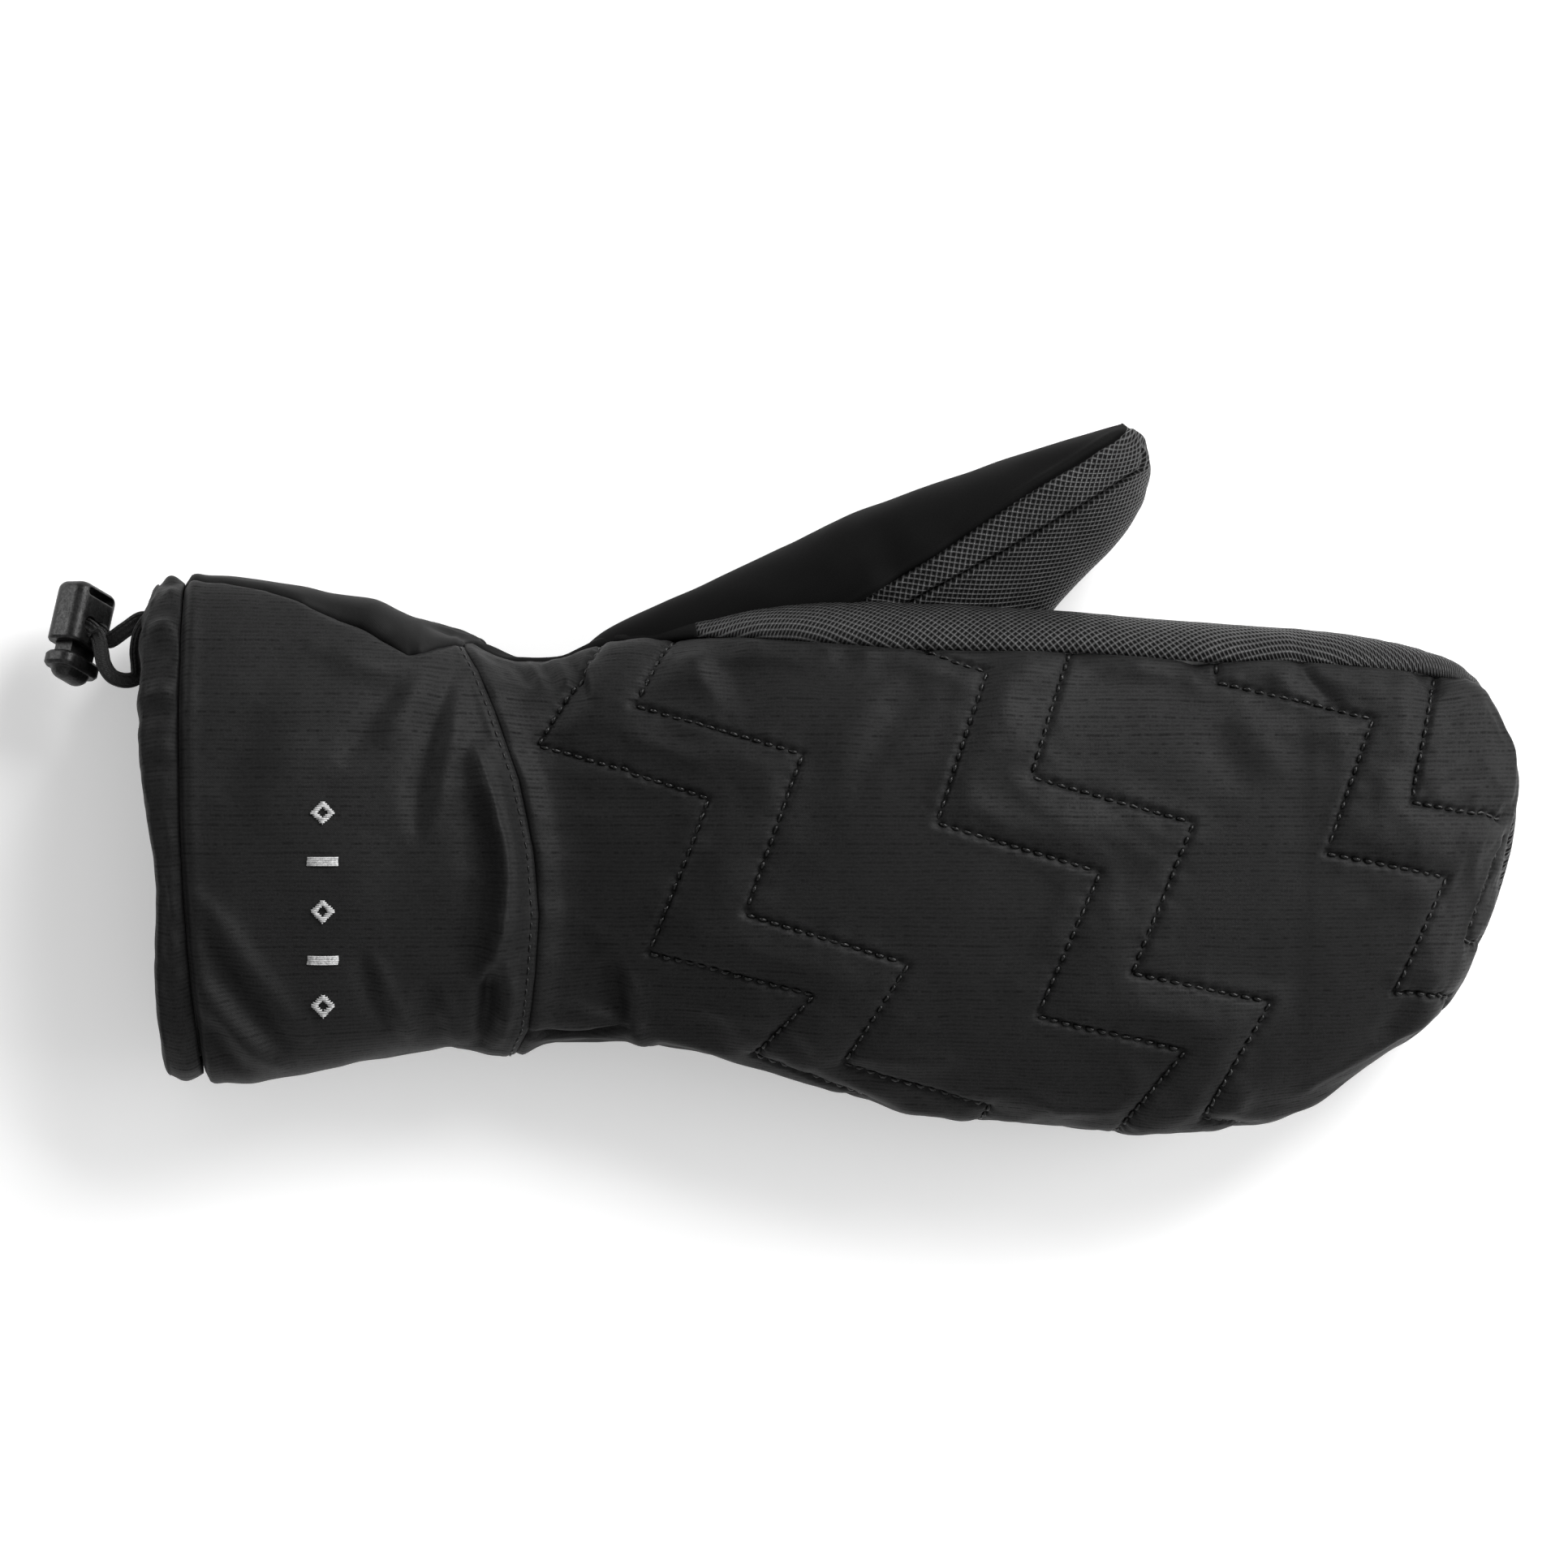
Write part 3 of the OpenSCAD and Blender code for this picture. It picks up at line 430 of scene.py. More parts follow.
def line_field(grid):
    """For every point: distance to the nearest quilting line, arc length there, and its side."""
    flat = grid.reshape(-1, 3)
    found = [LINE_TREE.find(p) for p in flat]
    nearest = np.array([f[1] for f in found])
    away = flat - LINE_POINTS[nearest]
    tangent = LINE_TANGENTS[nearest]
    side = np.sign(tangent[:, 0] * away[:, 1] - tangent[:, 1] * away[:, 0])
    fields = (np.array([f[2] for f in found]), LINE_ARCS[nearest], side)
    return [field.reshape(grid.shape[:2]) for field in fields]


# ---------------------------------------------------------------- mesh making
def link_object(name, mesh):
    obj = bpy.data.objects.new(name, mesh)
    bpy.context.scene.collection.objects.link(obj)
    return obj


def grid_mesh(name, outer, inner=None, uv=None, closed=False, mask=None):
    """A sheet with thickness between two grids, or a tube with capped ends if inner is None.

    mask picks the cells kept."""
    nu, nv = outer.shape[:2]
    cols = nv if closed else nv - 1
    if mask is None:
        mask = np.ones((nu - 1, cols), bool)
    rows_kept, cols_kept = np.nonzero(mask)
    cols_next = (cols_kept + 1) % nv
    a, b = rows_kept * nv + cols_kept, rows_kept * nv + cols_next
    c, d = (rows_kept + 1) * nv + cols_next, (rows_kept + 1) * nv + cols_kept
    faces = np.stack([a, d, c, b], -1)
    verts = outer.reshape(-1, 3)
    uvs = None if uv is None else uv.reshape(-1, 2)
    if inner is not None:
        offset = nu * nv
        verts = np.vstack([verts, inner.reshape(-1, 3)])
        if uvs is not None:
            uvs = np.vstack([uvs, uvs])
        parts = [faces, faces[:, ::-1] + offset]
        no_row = np.zeros((1, cols), bool)
        before, after = np.vstack([no_row, mask[:-1]]), np.vstack([mask[1:], no_row])
        if closed:
            left, right = np.roll(mask, 1, 1), np.roll(mask, -1, 1)
        else:
            no_col = np.zeros((nu - 1, 1), bool)
            left = np.hstack([no_col, mask[:, :-1]])
            right = np.hstack([mask[:, 1:], no_col])
        # rim faces on every side that has no neighbour
        for near, e0, e1 in ((before, a, b), (after, c, d), (left, d, a), (right, b, c)):
            k = ~near[rows_kept, cols_kept]
            parts.append(np.stack([e0[k], e1[k], e1[k] + offset, e0[k] + offset], 1))
        faces = np.vstack(parts)
    used, faces = np.unique(faces, return_inverse=True)
    faces = faces.reshape(-1, 4)
    verts = verts[used]
    mesh = bpy.data.meshes.new(name)
    mesh.vertices.add(len(verts))
    mesh.vertices.foreach_set("co", (verts * MM).astype(np.float32).ravel())
    mesh.loops.add(len(faces) * 4)
    mesh.loops.foreach_set("vertex_index", faces.astype(np.int32).ravel())
    mesh.polygons.add(len(faces))
    mesh.polygons.foreach_set("loop_start", np.arange(0, len(faces) * 4, 4, dtype=np.int32))
    mesh.polygons.foreach_set("use_smooth", np.ones(len(faces), bool))
    mesh.update(calc_edges=True)
    if uvs is not None:
        layer = mesh.uv_layers.new(name="cloth")
        layer.data.foreach_set("uv", uvs[used][faces.ravel()].astype(np.float32).ravel())
    obj = link_object(name, mesh)
    bm = bmesh.new()
    bm.from_mesh(mesh)
    if inner is None:
        bm.verts.ensure_lookup_table()
        bm.faces.new([bm.verts[k] for k in range(nv)])
        bm.faces.new([bm.verts[(nu - 1) * nv + k] for k in range(nv)][::-1])
    bmesh.ops.recalc_face_normals(bm, faces=bm.faces)
    bm.to_mesh(mesh)
    bm.free()
    return obj


def column_piece(name, surface, normals, uv, first, last, thickness=SHELL):
    """A cloth piece from columns first..last of grids closed with close_ring."""
    cols = slice(first, last + 1)
    outer = surface[:, cols]
    return grid_mesh(name, outer, outer - thickness * normals[:, cols], uv[:, cols])


def raw_mesh(name, verts, faces):
    mesh = bpy.data.meshes.new(name)
    mesh.from_pydata([tuple(v) for v in np.asarray(verts) * MM], [], faces)
    mesh.update()
    mesh.polygons.foreach_set("use_smooth", np.ones(len(mesh.polygons), bool))
    return link_object(name, mesh)


# ---------------------------------------------------------------- padding
def inflate(start, pin):
    """Inflates a closed grid with Blender's cloth, held where pin is high; returns it moved."""
    frames = 22
    scale = 10.0            # the solver is steadier on an object ten times the size
    stiffness = 14
    nu, nv = start.shape[:2]
    i, j = np.meshgrid(np.arange(nu - 1), np.arange(nv), indexing="ij")
    j2 = (j + 1) % nv
    faces = np.stack([i * nv + j, (i + 1) * nv + j, (i + 1) * nv + j2, i * nv + j2], -1)
    mesh = bpy.data.meshes.new("sim_body")
    verts = start.reshape(-1, 3) * MM * scale
    mesh.from_pydata(verts.tolist(), [], faces.reshape(-1, 4).tolist())
    mesh.update()
    obj = link_object("sim_body", mesh)
    group = obj.vertex_groups.new(name="pin")
    weights = np.round(pin.ravel(), 2)
    for level in np.unique(weights):
        if level > 0:
            members = [int(k) for k in np.where(weights == level)[0]]
            group.add(members, float(level), "REPLACE")
    cloth = obj.modifiers.new("Cloth", "CLOTH")
    s = cloth.settings
    s.quality = 6
    s.mass = 0.25
    s.tension_stiffness = s.compression_stiffness = stiffness
    s.shear_stiffness = stiffness * 0.5
    s.bending_stiffness = 0.35
    s.tension_damping = s.compression_damping = s.shear_damping = 8
    s.bending_damping = 0.6
    s.air_damping = 3
    s.vertex_group_mass = "pin"
    s.pin_stiffness = 1.0
    s.use_pressure = True
    s.uniform_pressure_force = 2.6
    s.shrink_min = s.shrink_max = -0.035
    s.effector_weights.gravity = 0
    cloth.collision_settings.use_collision = False
    cloth.collision_settings.use_self_collision = False
    cloth.point_cache.frame_start = 1
    cloth.point_cache.frame_end = frames + 2
    scene = bpy.context.scene
    for f in range(1, frames + 1):
        scene.frame_set(f)
    evaluated = obj.evaluated_get(bpy.context.evaluated_depsgraph_get())
    out = np.empty(len(verts) * 3, np.float32)
    evaluated.data.vertices.foreach_get("co", out)
    out = out.reshape(nu, nv, 3).astype(float) / (MM * scale)
    scene.frame_set(1)
    bpy.data.objects.remove(obj)
    bpy.data.meshes.remove(mesh)
    return out


QUILT_DIST = line_field(PLAIN)[0]
ON_BACK = np.zeros(PLAIN.shape[:2])
ON_BACK[:, :BACK_COLS + 1] = 1
# distances to the seams
THUMB_DIST = np.minimum(np.abs(GIRTH - GIRTH[:, :1]), np.abs(GIRTH - next_column(GIRTH)))
LITTLE_DIST = np.abs(GIRTH - GIRTH[:, BACK_COLS:BACK_COLS + 1])
WRIST_DIST = np.repeat(LENGTHS[:, None], PLAIN.shape[1], 1)


def held_down():
    """How far stitches and seams pull the cloth in."""
    sunk = 2.6 * bell(QUILT_DIST, 3.2) * ON_BACK + 1.4 * bell(QUILT_DIST, 9.0) * ON_BACK
    # the thumb-side seam is drawn in less beside the wrist
    past_wrist = smooth(-104, -90, PLAIN[..., 0])
    return sunk + ((0.5 + 1.7 * past_wrist) * bell(THUMB_DIST, 2.6)
                   + 1.2 * bell(LITTLE_DIST, 2.5) + 0.9 * bell(WRIST_DIST, 3.0))


def pin_weights():
    pin = np.zeros(PLAIN.shape[:2])
    pin = np.maximum(pin, (QUILT_DIST < 1.1) * ON_BACK)
    pin = np.maximum(pin, 0.35 * (QUILT_DIST < 1.9) * ON_BACK)
    pin[:, 0] = 1
    pin[:, BACK_COLS] = 1
    pin[:1, :] = 1
    pin[-6:, :] = 1
    on_table = PLAIN[..., 2] < 0.8
    pin[on_table] = np.maximum(pin[on_table], 0.5)
    pin = np.maximum(pin, 0.06 * ON_BACK)
    return np.maximum(pin, 0.25 * (1 - ON_BACK))


def padded_offsets():
    sunk = held_down()
    start = PLAIN - (sunk * 0.9 + 0.9)[..., None] * PLAIN_N
    move = inflate(start, pin_weights()) - PLAIN
    out = (move * PLAIN_N).sum(2)
    sideways = move - out[..., None] * PLAIN_N
    slide = np.linalg.norm(sideways, axis=2)
    # tame the swelling, keep the broad shape and part of the wrinkles
    out = np.clip(out, -5.0, 5.0)
    out = np.where(out > 0.4, 0.4 + 1.1 * np.tanh((out - 0.4) / 1.6), out)
    broad = blur(out, 2.4, 2.4, True)
    out = 0.75 * broad + 0.30 * (out - broad) - 0.1
    sideways = sideways * np.minimum(0.4, 0.5 / np.maximum(slide, 1e-6))[..., None]
    offsets = blur(out[..., None] * PLAIN_N + sideways, 0.9, 0.9, True)
    offsets[..., 2] = np.where(PLAIN[..., 2] < 1.2, np.maximum(offsets[..., 2], 0),
                               offsets[..., 2])
    return offsets


ends_fade = (smooth(0, 7, WRIST_DIST)
             * (1 - smooth(HAND_LEN - 7, HAND_LEN - 1, WRIST_DIST) * 0.6))
PADDED = above_table(PLAIN + padded_offsets() * ends_fade[..., None])
PADDED_N = unit(blur(normals_of(PADDED, closed=True), 0.7, 0.7, True))


# ---------------------------------------------------------------- folds
def nearest_on(curve, plan):
    """Index of the nearest curve point and the squared distance, for each plan point."""
    index = np.empty(len(plan), int)
    squared = np.empty(len(plan))
    for q in range(0, len(plan), 50000):
        block = ((plan[q:q + 50000, None] - curve[None]) ** 2).sum(2)
        index[q:q + 50000] = block.argmin(1)
        squared[q:q + 50000] = block.min(1)
    return index, squared


def fold_field(grid, folds):
    """Ridges and valleys along plan lines, on the back only."""
    out = np.zeros(grid.shape[:2])
    flat = grid.reshape(-1, 3)
    for height, width, points in folds:
        curve = spline(np.array(points, float), np.linspace(0, len(points) - 1, 60))
        arc = arc_lengths(curve)
        index, squared = nearest_on(curve, flat[:, :2])
        s = arc[index] / arc[-1]
        end = np.clip(np.minimum(s, 1 - s) / 0.3, 0, 1) ** 0.7
        w = width * (0.55 + 0.45 * end)
        v = height * np.exp(-squared / w ** 2) * (0.12 + 0.88 * end)
        out += (v * smooth(14, 26, flat[:, 2])).reshape(grid.shape[:2])
    return out


# height, width, plan points (x, y)
HAND_FOLDS = [
    # dart and creases beside the wrist on the little-finger side
    (-2.5, 0.9, [(-117.0, -36.8), (-103, -38.4), (-89.8, -36.4)]),
    (0.7, 2.6, [(-111, -33.6), (-102, -34.6), (-95, -33.8)]),
    (1.5, 2.4, [(-92.2, -21), (-89.6, -29), (-88.6, -38), (-84, -45)]),
    (-1.5, 2.8, [(-95.6, -20), (-94.2, -28), (-92.4, -36)]),
    (-0.8, 5.0, [(-99, -22), (-96, -29), (-93, -35)]),
    # pleats beside the wrist on the thumb side
    (-0.9, 1.5, [(-117.5, 52), (-114.6, 48.8), (-112.8, 45)]),
    (0.8, 1.5, [(-114.6, 52), (-112.0, 48.6), (-110.6, 45)]),
    (-0.9, 1.4, [(-111.6, 52), (-108.9, 48.4), (-107.8, 44.5)]),
    (0.8, 1.5, [(-108.6, 52.6), (-106.1, 48.8), (-105.0, 44.6)]),
    (-0.9, 5.0, [(-73, 57), (-66, 48), (-60, 40)]),
    (0.8, 4.0, [(-79, 55), (-73, 46), (-70, 38)]),
    (-1.1, 1.7, [(-104.6, 53.6), (-102.6, 48), (-101, 42)]),
    (0.7, 2.2, [(-101.5, 54), (-99.6, 48), (-98.6, 42)]),
    # fingers and middle of the back
    (-1.3, 2.2, [(40, 55), (43.5, 51), (47.5, 47.5)]),
    (-1.2, 1.8, [(66, 54), (68.5, 48), (73, 43), (78, 40)]),
    (1.0, 3.0, [(60, 52), (63, 46), (69, 41)]),
    (-0.9, 5.0, [(46, 36), (50, 28), (55, 20)]),
    (0.7, 5.0, [(52, 40), (58, 32), (63, 23)]),
    (-1.1, 2.0, [(94, 50), (98, 47), (99.8, 43)]),
    (-0.8, 4.0, [(-20, 45), (-30, 36), (-38, 20)]),
    (0.6, 5.0, [(-28, 48), (-36, 38), (-46, 22)]),
    (-0.7, 4.0, [(88, 30), (92, 24), (95, 22)]),
    (-0.8, 3.0, [(-64, -36), (-54, -40), (-47, -45)]),
    (0.8, 3.4, [(-70, -34), (-60, -40), (-52, -47)]),
    (-0.8, 3.4, [(30, -44), (36, -52), (40, -58)]),
    (-0.8, 2.8, [(96, -26), (92, -34), (85, -40)]),
    (0.7, 3.4, [(101, -22), (98, -32), (90, -38)]),
]
CUFF_FOLDS = [
    (-2.0, 3.6, [(-132.2, 46), (-136.2, 34), (-139.0, 22), (-140.2, 10)]),
    (0.9, 3.4, [(-136.9, 48), (-142.0, 40.5), (-147.4, 30)]),
    (0.9, 3.0, [(-129.2, 46), (-131.2, 34), (-133.6, 20), (-137, 8)]),
    (-1.2, 4.0, [(-143, 49), (-148, 40.5), (-152.6, 33), (-157.6, 26)]),
    # along the gusset's edge
    (-2.2, 1.9, [(-166, 64.4), (-152.8, 60.0), (-146, 56.2), (-139.6, 51.2)]),
    (1.2, 3.6, [(-166, 55), (-155, 51), (-147, 48.5), (-138.8, 50.5), (-129, 52)]),
    # slanting from the hem to the little-finger side
    (1.5, 3.2, [(-192, -2.7), (-186.3, -9.9), (-179.2, -20.3), (-169.5, -32.3), (-164, -38)]),
    (-1.5, 3.2, [(-189, -14), (-184, -24), (-176.5, -34), (-169, -41)]),
    (1.5, 2.6, [(-189.5, -24), (-184.5, -33), (-176, -41.5), (-170, -44.5)]),
    (-1.2, 2.4, [(-190, -32), (-185.5, -40), (-179, -46)]),
    (-1.3, 3.2, [(-153, -18), (-150, -27), (-146, -36)]),
    (1.3, 2.6, [(-150, -18), (-146.5, -28), (-141, -37.5)]),
    # at the wrist on the little-finger side
    (-2.8, 2.2, [(-122.6, -19), (-123.2, -30), (-125, -40)]),
    (1.8, 2.4, [(-118.6, -19), (-118.0, -28), (-120, -38)]),
    (1.0, 3.0, [(-134, -26), (-132, -33), (-129, -40)]),
    (-0.9, 3.2, [(-138, -24), (-136.5, -32), (-133, -39)]),
    # broad and shallow
    (-0.8, 6.0, [(-176, 40), (-181, 28), (-186, 18)]),
    (0.6, 7.0, [(-168, 34), (-172, 22), (-176, 10)]),
    (0.5, 7.0, [(-150, 10), (-153, -4), (-158, -14)]),
]

# ---------------------------------------------------------------- back panel
QUILT_PITCH = 3.3       # spacing of the dimples along a quilting line
GIRTH_CLOSED = np.concatenate([GIRTH, next_column(GIRTH)], 1)


def panel_grid(first, last, spacing):
    """A finer grid over columns first..last: its rows and columns, plain surface, padded
    surface, normals, girth and distance from the wrist."""
    middle = GIRTH[ROWS // 3]
    width = np.abs(middle[first] - middle[min(last, len(middle) - 1)])
    rows, cols = np.meshgrid(
        np.linspace(0, ROWS - 1, int(round(HAND_LEN / spacing)) + 1),
        np.linspace(first, last, int(round(width / spacing)) + 1), indexing="ij")
    return (rows, cols, sample_grid(PLAIN, rows, cols, True),
            sample_grid(PADDED, rows, cols, True),
            unit(sample_grid(PADDED_N, rows, cols, True)),
            sample_field(GIRTH_CLOSED, rows, cols),
            np.interp(rows, np.arange(ROWS), LENGTHS))


def tip_fade(along):
    return 1 - smooth(HAND_LEN - 9, HAND_LEN - 1, along)


def back_relief(plain, girth, along):
    """Height of the fine wrinkles over the padded back."""
    from_line, arc, side = line_field(plain)
    from_thumb = np.abs(girth - girth[:, :1])
    from_little = np.abs(girth - girth[:, -1:])
    # the stitched furrow, deepest at the needle holes
    phase = 2 * PI * arc / QUILT_PITCH
    d = -1.5 * bell(from_line, 0.8) * (0.74 - 0.26 * np.cos(phase))
    # little pulls across each line, one side at a time
    pulls = (noise(arc, side * 40, seed=3, scale=5.2)
             + 0.6 * noise(arc + 31, side * 23, seed=4, scale=2.6))
    d += blur(0.55 * pulls * bell(from_line, 3.4) * (1 - bell(from_line, 1.0)), 0.8, 0.8)
    pulls = noise(arc + 90, side * 11, seed=5, scale=11.0)
    d += blur(0.75 * pulls * bell(from_line, 10.0) * (1 - bell(from_line, 3.0)), 4.0, 4.0)
    # pulls beside the seams
    pulls = noise(along, 0, seed=6, scale=4.6) + 0.6 * noise(along, 0, seed=7, scale=9.0)
    d += 0.5 * pulls * bell(from_thumb, 5.0) * (1 - bell(from_thumb, 1.2))
    d += 0.55 * noise(along, 0, seed=8, scale=6.0) * bell(from_little, 7.0)
    d += -0.8 * bell(from_thumb, 0.9) - 0.8 * bell(from_little, 0.9)
    pulls = noise(girth, 0, seed=9, scale=5.0) + 0.5 * noise(girth, 0, seed=10, scale=2.8)
    d += 0.35 * pulls * bell(along, 6.0) * (1 - bell(along, 1.2)) - 0.8 * bell(along, 0.8)
    d += fold_field(plain, HAND_FOLDS)
    # the cloth is never quite flat
    d += (0.12 * noise(along, girth, seed=12, scale=9.0)
          + 0.06 * noise(along + 40, girth, seed=13, scale=4.5))
    return d * tip_fade(along)


_, _, plain, padded, normals, girth, along = panel_grid(0, BACK_COLS, BACK_STEP)
BACK = above_table(padded + back_relief(plain, girth, along)[..., None] * normals)
BACK_N = normals_of(BACK)
near_tip = smooth(96, 114, plain[..., 0])
across = girth * (1 - near_tip) + plain[..., 1] * near_tip
back_panel = grid_mesh("back_panel_quilted", BACK, BACK - SHELL * BACK_N,
                       np.stack([along, across], -1) * 0.01)

# ---------------------------------------------------------------- palm panel and thumb web
WEB_ANGLE = 340         # the web fills the palm from this angle to the thumb-side seam...
WEB_END_X = -75.5       # ...and from the wrist to this x
FAR = 99                # a distance beyond reach of any groove


def palm_relief(plain, girth, along, web_row, web_col):
    from_thumb = np.abs(girth - girth[:, -1:])
    from_little = np.abs(girth - girth[:, :1])
    web_end = along[web_row, 0]
    web_girth = girth[:, web_col:web_col + 1]
    from_web = np.where(along < web_end + 1, np.abs(girth - web_girth), FAR)
    from_web = np.minimum(from_web, np.where(girth > web_girth, np.abs(along - web_end), FAR))
    d = (-0.8 * bell(from_thumb, 0.9) - 0.8 * bell(from_little, 0.9) - 0.8 * bell(along, 0.8)
         - 0.7 * bell(from_web, 0.9))
    d += (0.35 * noise(along, 0, seed=21, scale=6.0) * bell(from_thumb, 6.0)
          * (1 - bell(from_thumb, 1.5)))
    d += (0.22 * noise(along, girth, seed=22, scale=15.0)
          + 0.12 * noise(along, girth, seed=23, scale=6.0))
    # crease across the palm
    crease_x = 14 + 3 * noise(girth, 0, seed=24, scale=20.0)
    d += -1.0 * bell(plain[..., 0] - crease_x, 3.2) * smooth(30, 12, plain[..., 2])
    return d * tip_fade(along)


rows, cols, plain, padded, normals, girth, along = panel_grid(
    BACK_COLS, BACK_COLS + PALM_COLS, PALM_STEP)
angles_closed = np.concatenate([ANGLES, ANGLES[:, :1] + 360], 1)
web_col = int(np.argmax(sample_field(angles_closed, rows[:1], cols[:1])[0] > WEB_ANGLE))
web_row = int(np.argmax(plain[:, -1, 0] > WEB_END_X))
relief = palm_relief(plain, girth, along, web_row, web_col)
palm = above_table(padded + relief[..., None] * normals, gap=0.12)
palm_normals = normals_of(palm, probe=(len(palm) // 2, palm.shape[1] // 2), up=-1)
palm_in = palm - SHELL * palm_normals
palm_uv = np.stack([along, girth], -1) * 0.01
web_cells = np.zeros((palm.shape[0] - 1, palm.shape[1] - 1), bool)
web_cells[:web_row, web_col:] = True
palm_panel = grid_mesh("palm_panel_grip", palm, palm_in, palm_uv, mask=~web_cells)
hand_web = grid_mesh("hand_web_softshell", palm, palm_in, palm_uv, mask=web_cells)

# ---------------------------------------------------------------- cuff
# plan points of the roll of cloth standing up beside the wrist seam
WRIST_ROLL = [(-127.3, 32), (-126.3, 27.5), (-123.6, 17.6), (-121.0, 7.2), (-120.3, -2.1),
              (-121.3, -11.4), (-123.9, -21.5), (-125.4, -27)]
CUFF_LITTLE = GUSSET_COLS + CUFF_BACK_COLS      # column of the little-finger-side seam


def cuff_stations():
    rows = spline(CUFF, np.linspace(0, len(CUFF) - 2, 600))     # ends at the nominal wrist
    n = int(round((rows[-1, 0] - rows[0, 0]) / CUFF_STEP))
    xs = np.linspace(rows[0, 0], WRIST_X, n + 1)
    return np.stack([xs] + [np.interp(xs, rows[:, 0], rows[:, k]) for k in (1, 2, 3)], 1)


def skew(points):
    """The cuff's rings bow towards the fingers away from y = 35, most at the hem."""
    x, y = points[..., 0], points[..., 1]
    return np.where(x < -112, 0.0009 * (y - 35) ** 2 * (-112 - x) / 93, 0)


def cuff_rings(stations):
    """Rings with columns lined up on the gusset, back and palm, and their girth coordinates."""
    rings, girths = [], []
    for station in stations:
        dense = section(station, RING_ANGLES)
        edge = angle_at(station, np.interp(station[0], GUSSET_SEAM[:, 0], GUSSET_SEAM[:, 1]))
        gusset, gusset_len, _ = resample(dense, -14, edge, GUSSET_COLS)
        back, back_len, angles = resample(dense, edge, LITTLE_ANGLE, CUFF_BACK_COLS)
        palm, palm_len, _ = resample(dense, LITTLE_ANGLE, 346, CUFF_PALM_COLS)
        rings.append(np.vstack([gusset, back[1:], palm[1:-1]]))
        back_arc = np.linspace(0, back_len, CUFF_BACK_COLS + 1)
        arc = np.r_[np.linspace(-gusset_len, 0, GUSSET_COLS + 1), back_arc[1:],
                    back_len + np.linspace(0, palm_len, CUFF_PALM_COLS + 1)[1:-1]]
        girths.append(np.interp(90, angles, back_arc) - arc + (station[1] + station[2]) / 2)
    rings = np.array(rings)
    fade = smooth(WRIST_X - 32, WRIST_X, rings[..., 0])
    rings[..., 0] += wrist_shift(rings) * fade + skew(rings) * (1 - fade)
    return rings, np.array(girths)


def standing_roll(grid, line, high, run, dip):
    """A roll of cloth along a line: it climbs ever more steeply from the hem side over the
    length run, and sinks gently beyond the line; dip is the depth of the hollow before it."""
    curve = spline(np.array(line, float), np.linspace(0, len(line) - 1, 90))
    flat = grid.reshape(-1, 3)
    index, _ = nearest_on(curve, flat[:, :2])
    tangent = unit(np.gradient(curve, axis=0))[index]
    away = flat[:, :2] - curve[index]
    e = away[:, 1] * tangent[:, 0] - away[:, 0] * tangent[:, 1]     # positive towards the hand
    past_end = np.linalg.norm(away, axis=1) - np.abs(e)
    arc = index / (len(curve) - 1)
    end = smooth(0.0, 0.45, arc) ** 0.8 * smooth(0.0, 0.30, 1 - arc) * bell(past_end, 3.0)
    run = run * (0.5 + 0.5 * end)
    foot = dip * bell(e + 3.0, np.where(e < -3.0, 5.0, 2.4))
    beyond = 1 - 0.25 * smooth(0.2, 2.2, e) - 0.75 * smooth(1.6, 9.0, e)
    v = np.where(e < 0, high * np.exp(e / run), high * beyond) - foot
    return (v * end * smooth(14, 26, flat[:, 2])).reshape(grid.shape[:2])


def cuff_relief(plain, girth, along, length):
    """Height of the wrinkles, folds, gathers and seams of the cuff."""
    d = fold_field(plain, CUFF_FOLDS)
    d += blur(standing_roll(plain, WRIST_ROLL, high=6.9, run=2.2, dip=2.4), 0.4, 0.4)
    bulge = np.sin(np.clip(along / length, 0, 1) * PI) ** 0.6
    d += 0.25 * bulge
    # gathers at the wrist elastic, stronger on the palm side
    gathers = (noise(girth, along * 0.04, seed=31, scale=6.5)
               + 0.6 * noise(girth, along * 0.04, seed=32, scale=3.4))
    palmward = smooth(34, 18, plain[..., 2])
    d += gathers * bell(along - length + 7, 10.0) * (0.35 + 1.0 * palmward)
    d += (0.35 * noise(along, girth, seed=33, scale=26.0) * bulge
          + 0.2 * noise(along, girth, seed=34, scale=12.0)
          + 0.08 * noise(along, girth, seed=35, scale=5.0))
    slanting = noise(along * 0.7 + girth, girth - along, seed=36, scale=22.0)
    d += 0.9 * palmward * slanting * bulge
    # wrist seam with a topstitched ridge
    to_wrist = length - along
    d = d * smooth(0, 5, to_wrist) - 0.8 * bell(to_wrist, 0.8) + 0.4 * bell(to_wrist - 2.2, 1.3)
    # hem seam
    d += -2.1 * bell(along, 1.0) + 0.5 * bell(along - 2.6, 1.8)
    d += -0.45 * bell(to_wrist - 1.7, 0.6)
    d += 0.25 * noise(girth, 0, seed=37, scale=4.0) * bell(along, 6.0)
    # lengthwise seams: column, depth
    for col, depth in ((GUSSET_COLS, 0.9), (0, 0.6), (CUFF_LITTLE, 0.6)):
        d += -depth * bell(np.abs(girth - girth[:, col:col + 1]), 1.0)
    return d


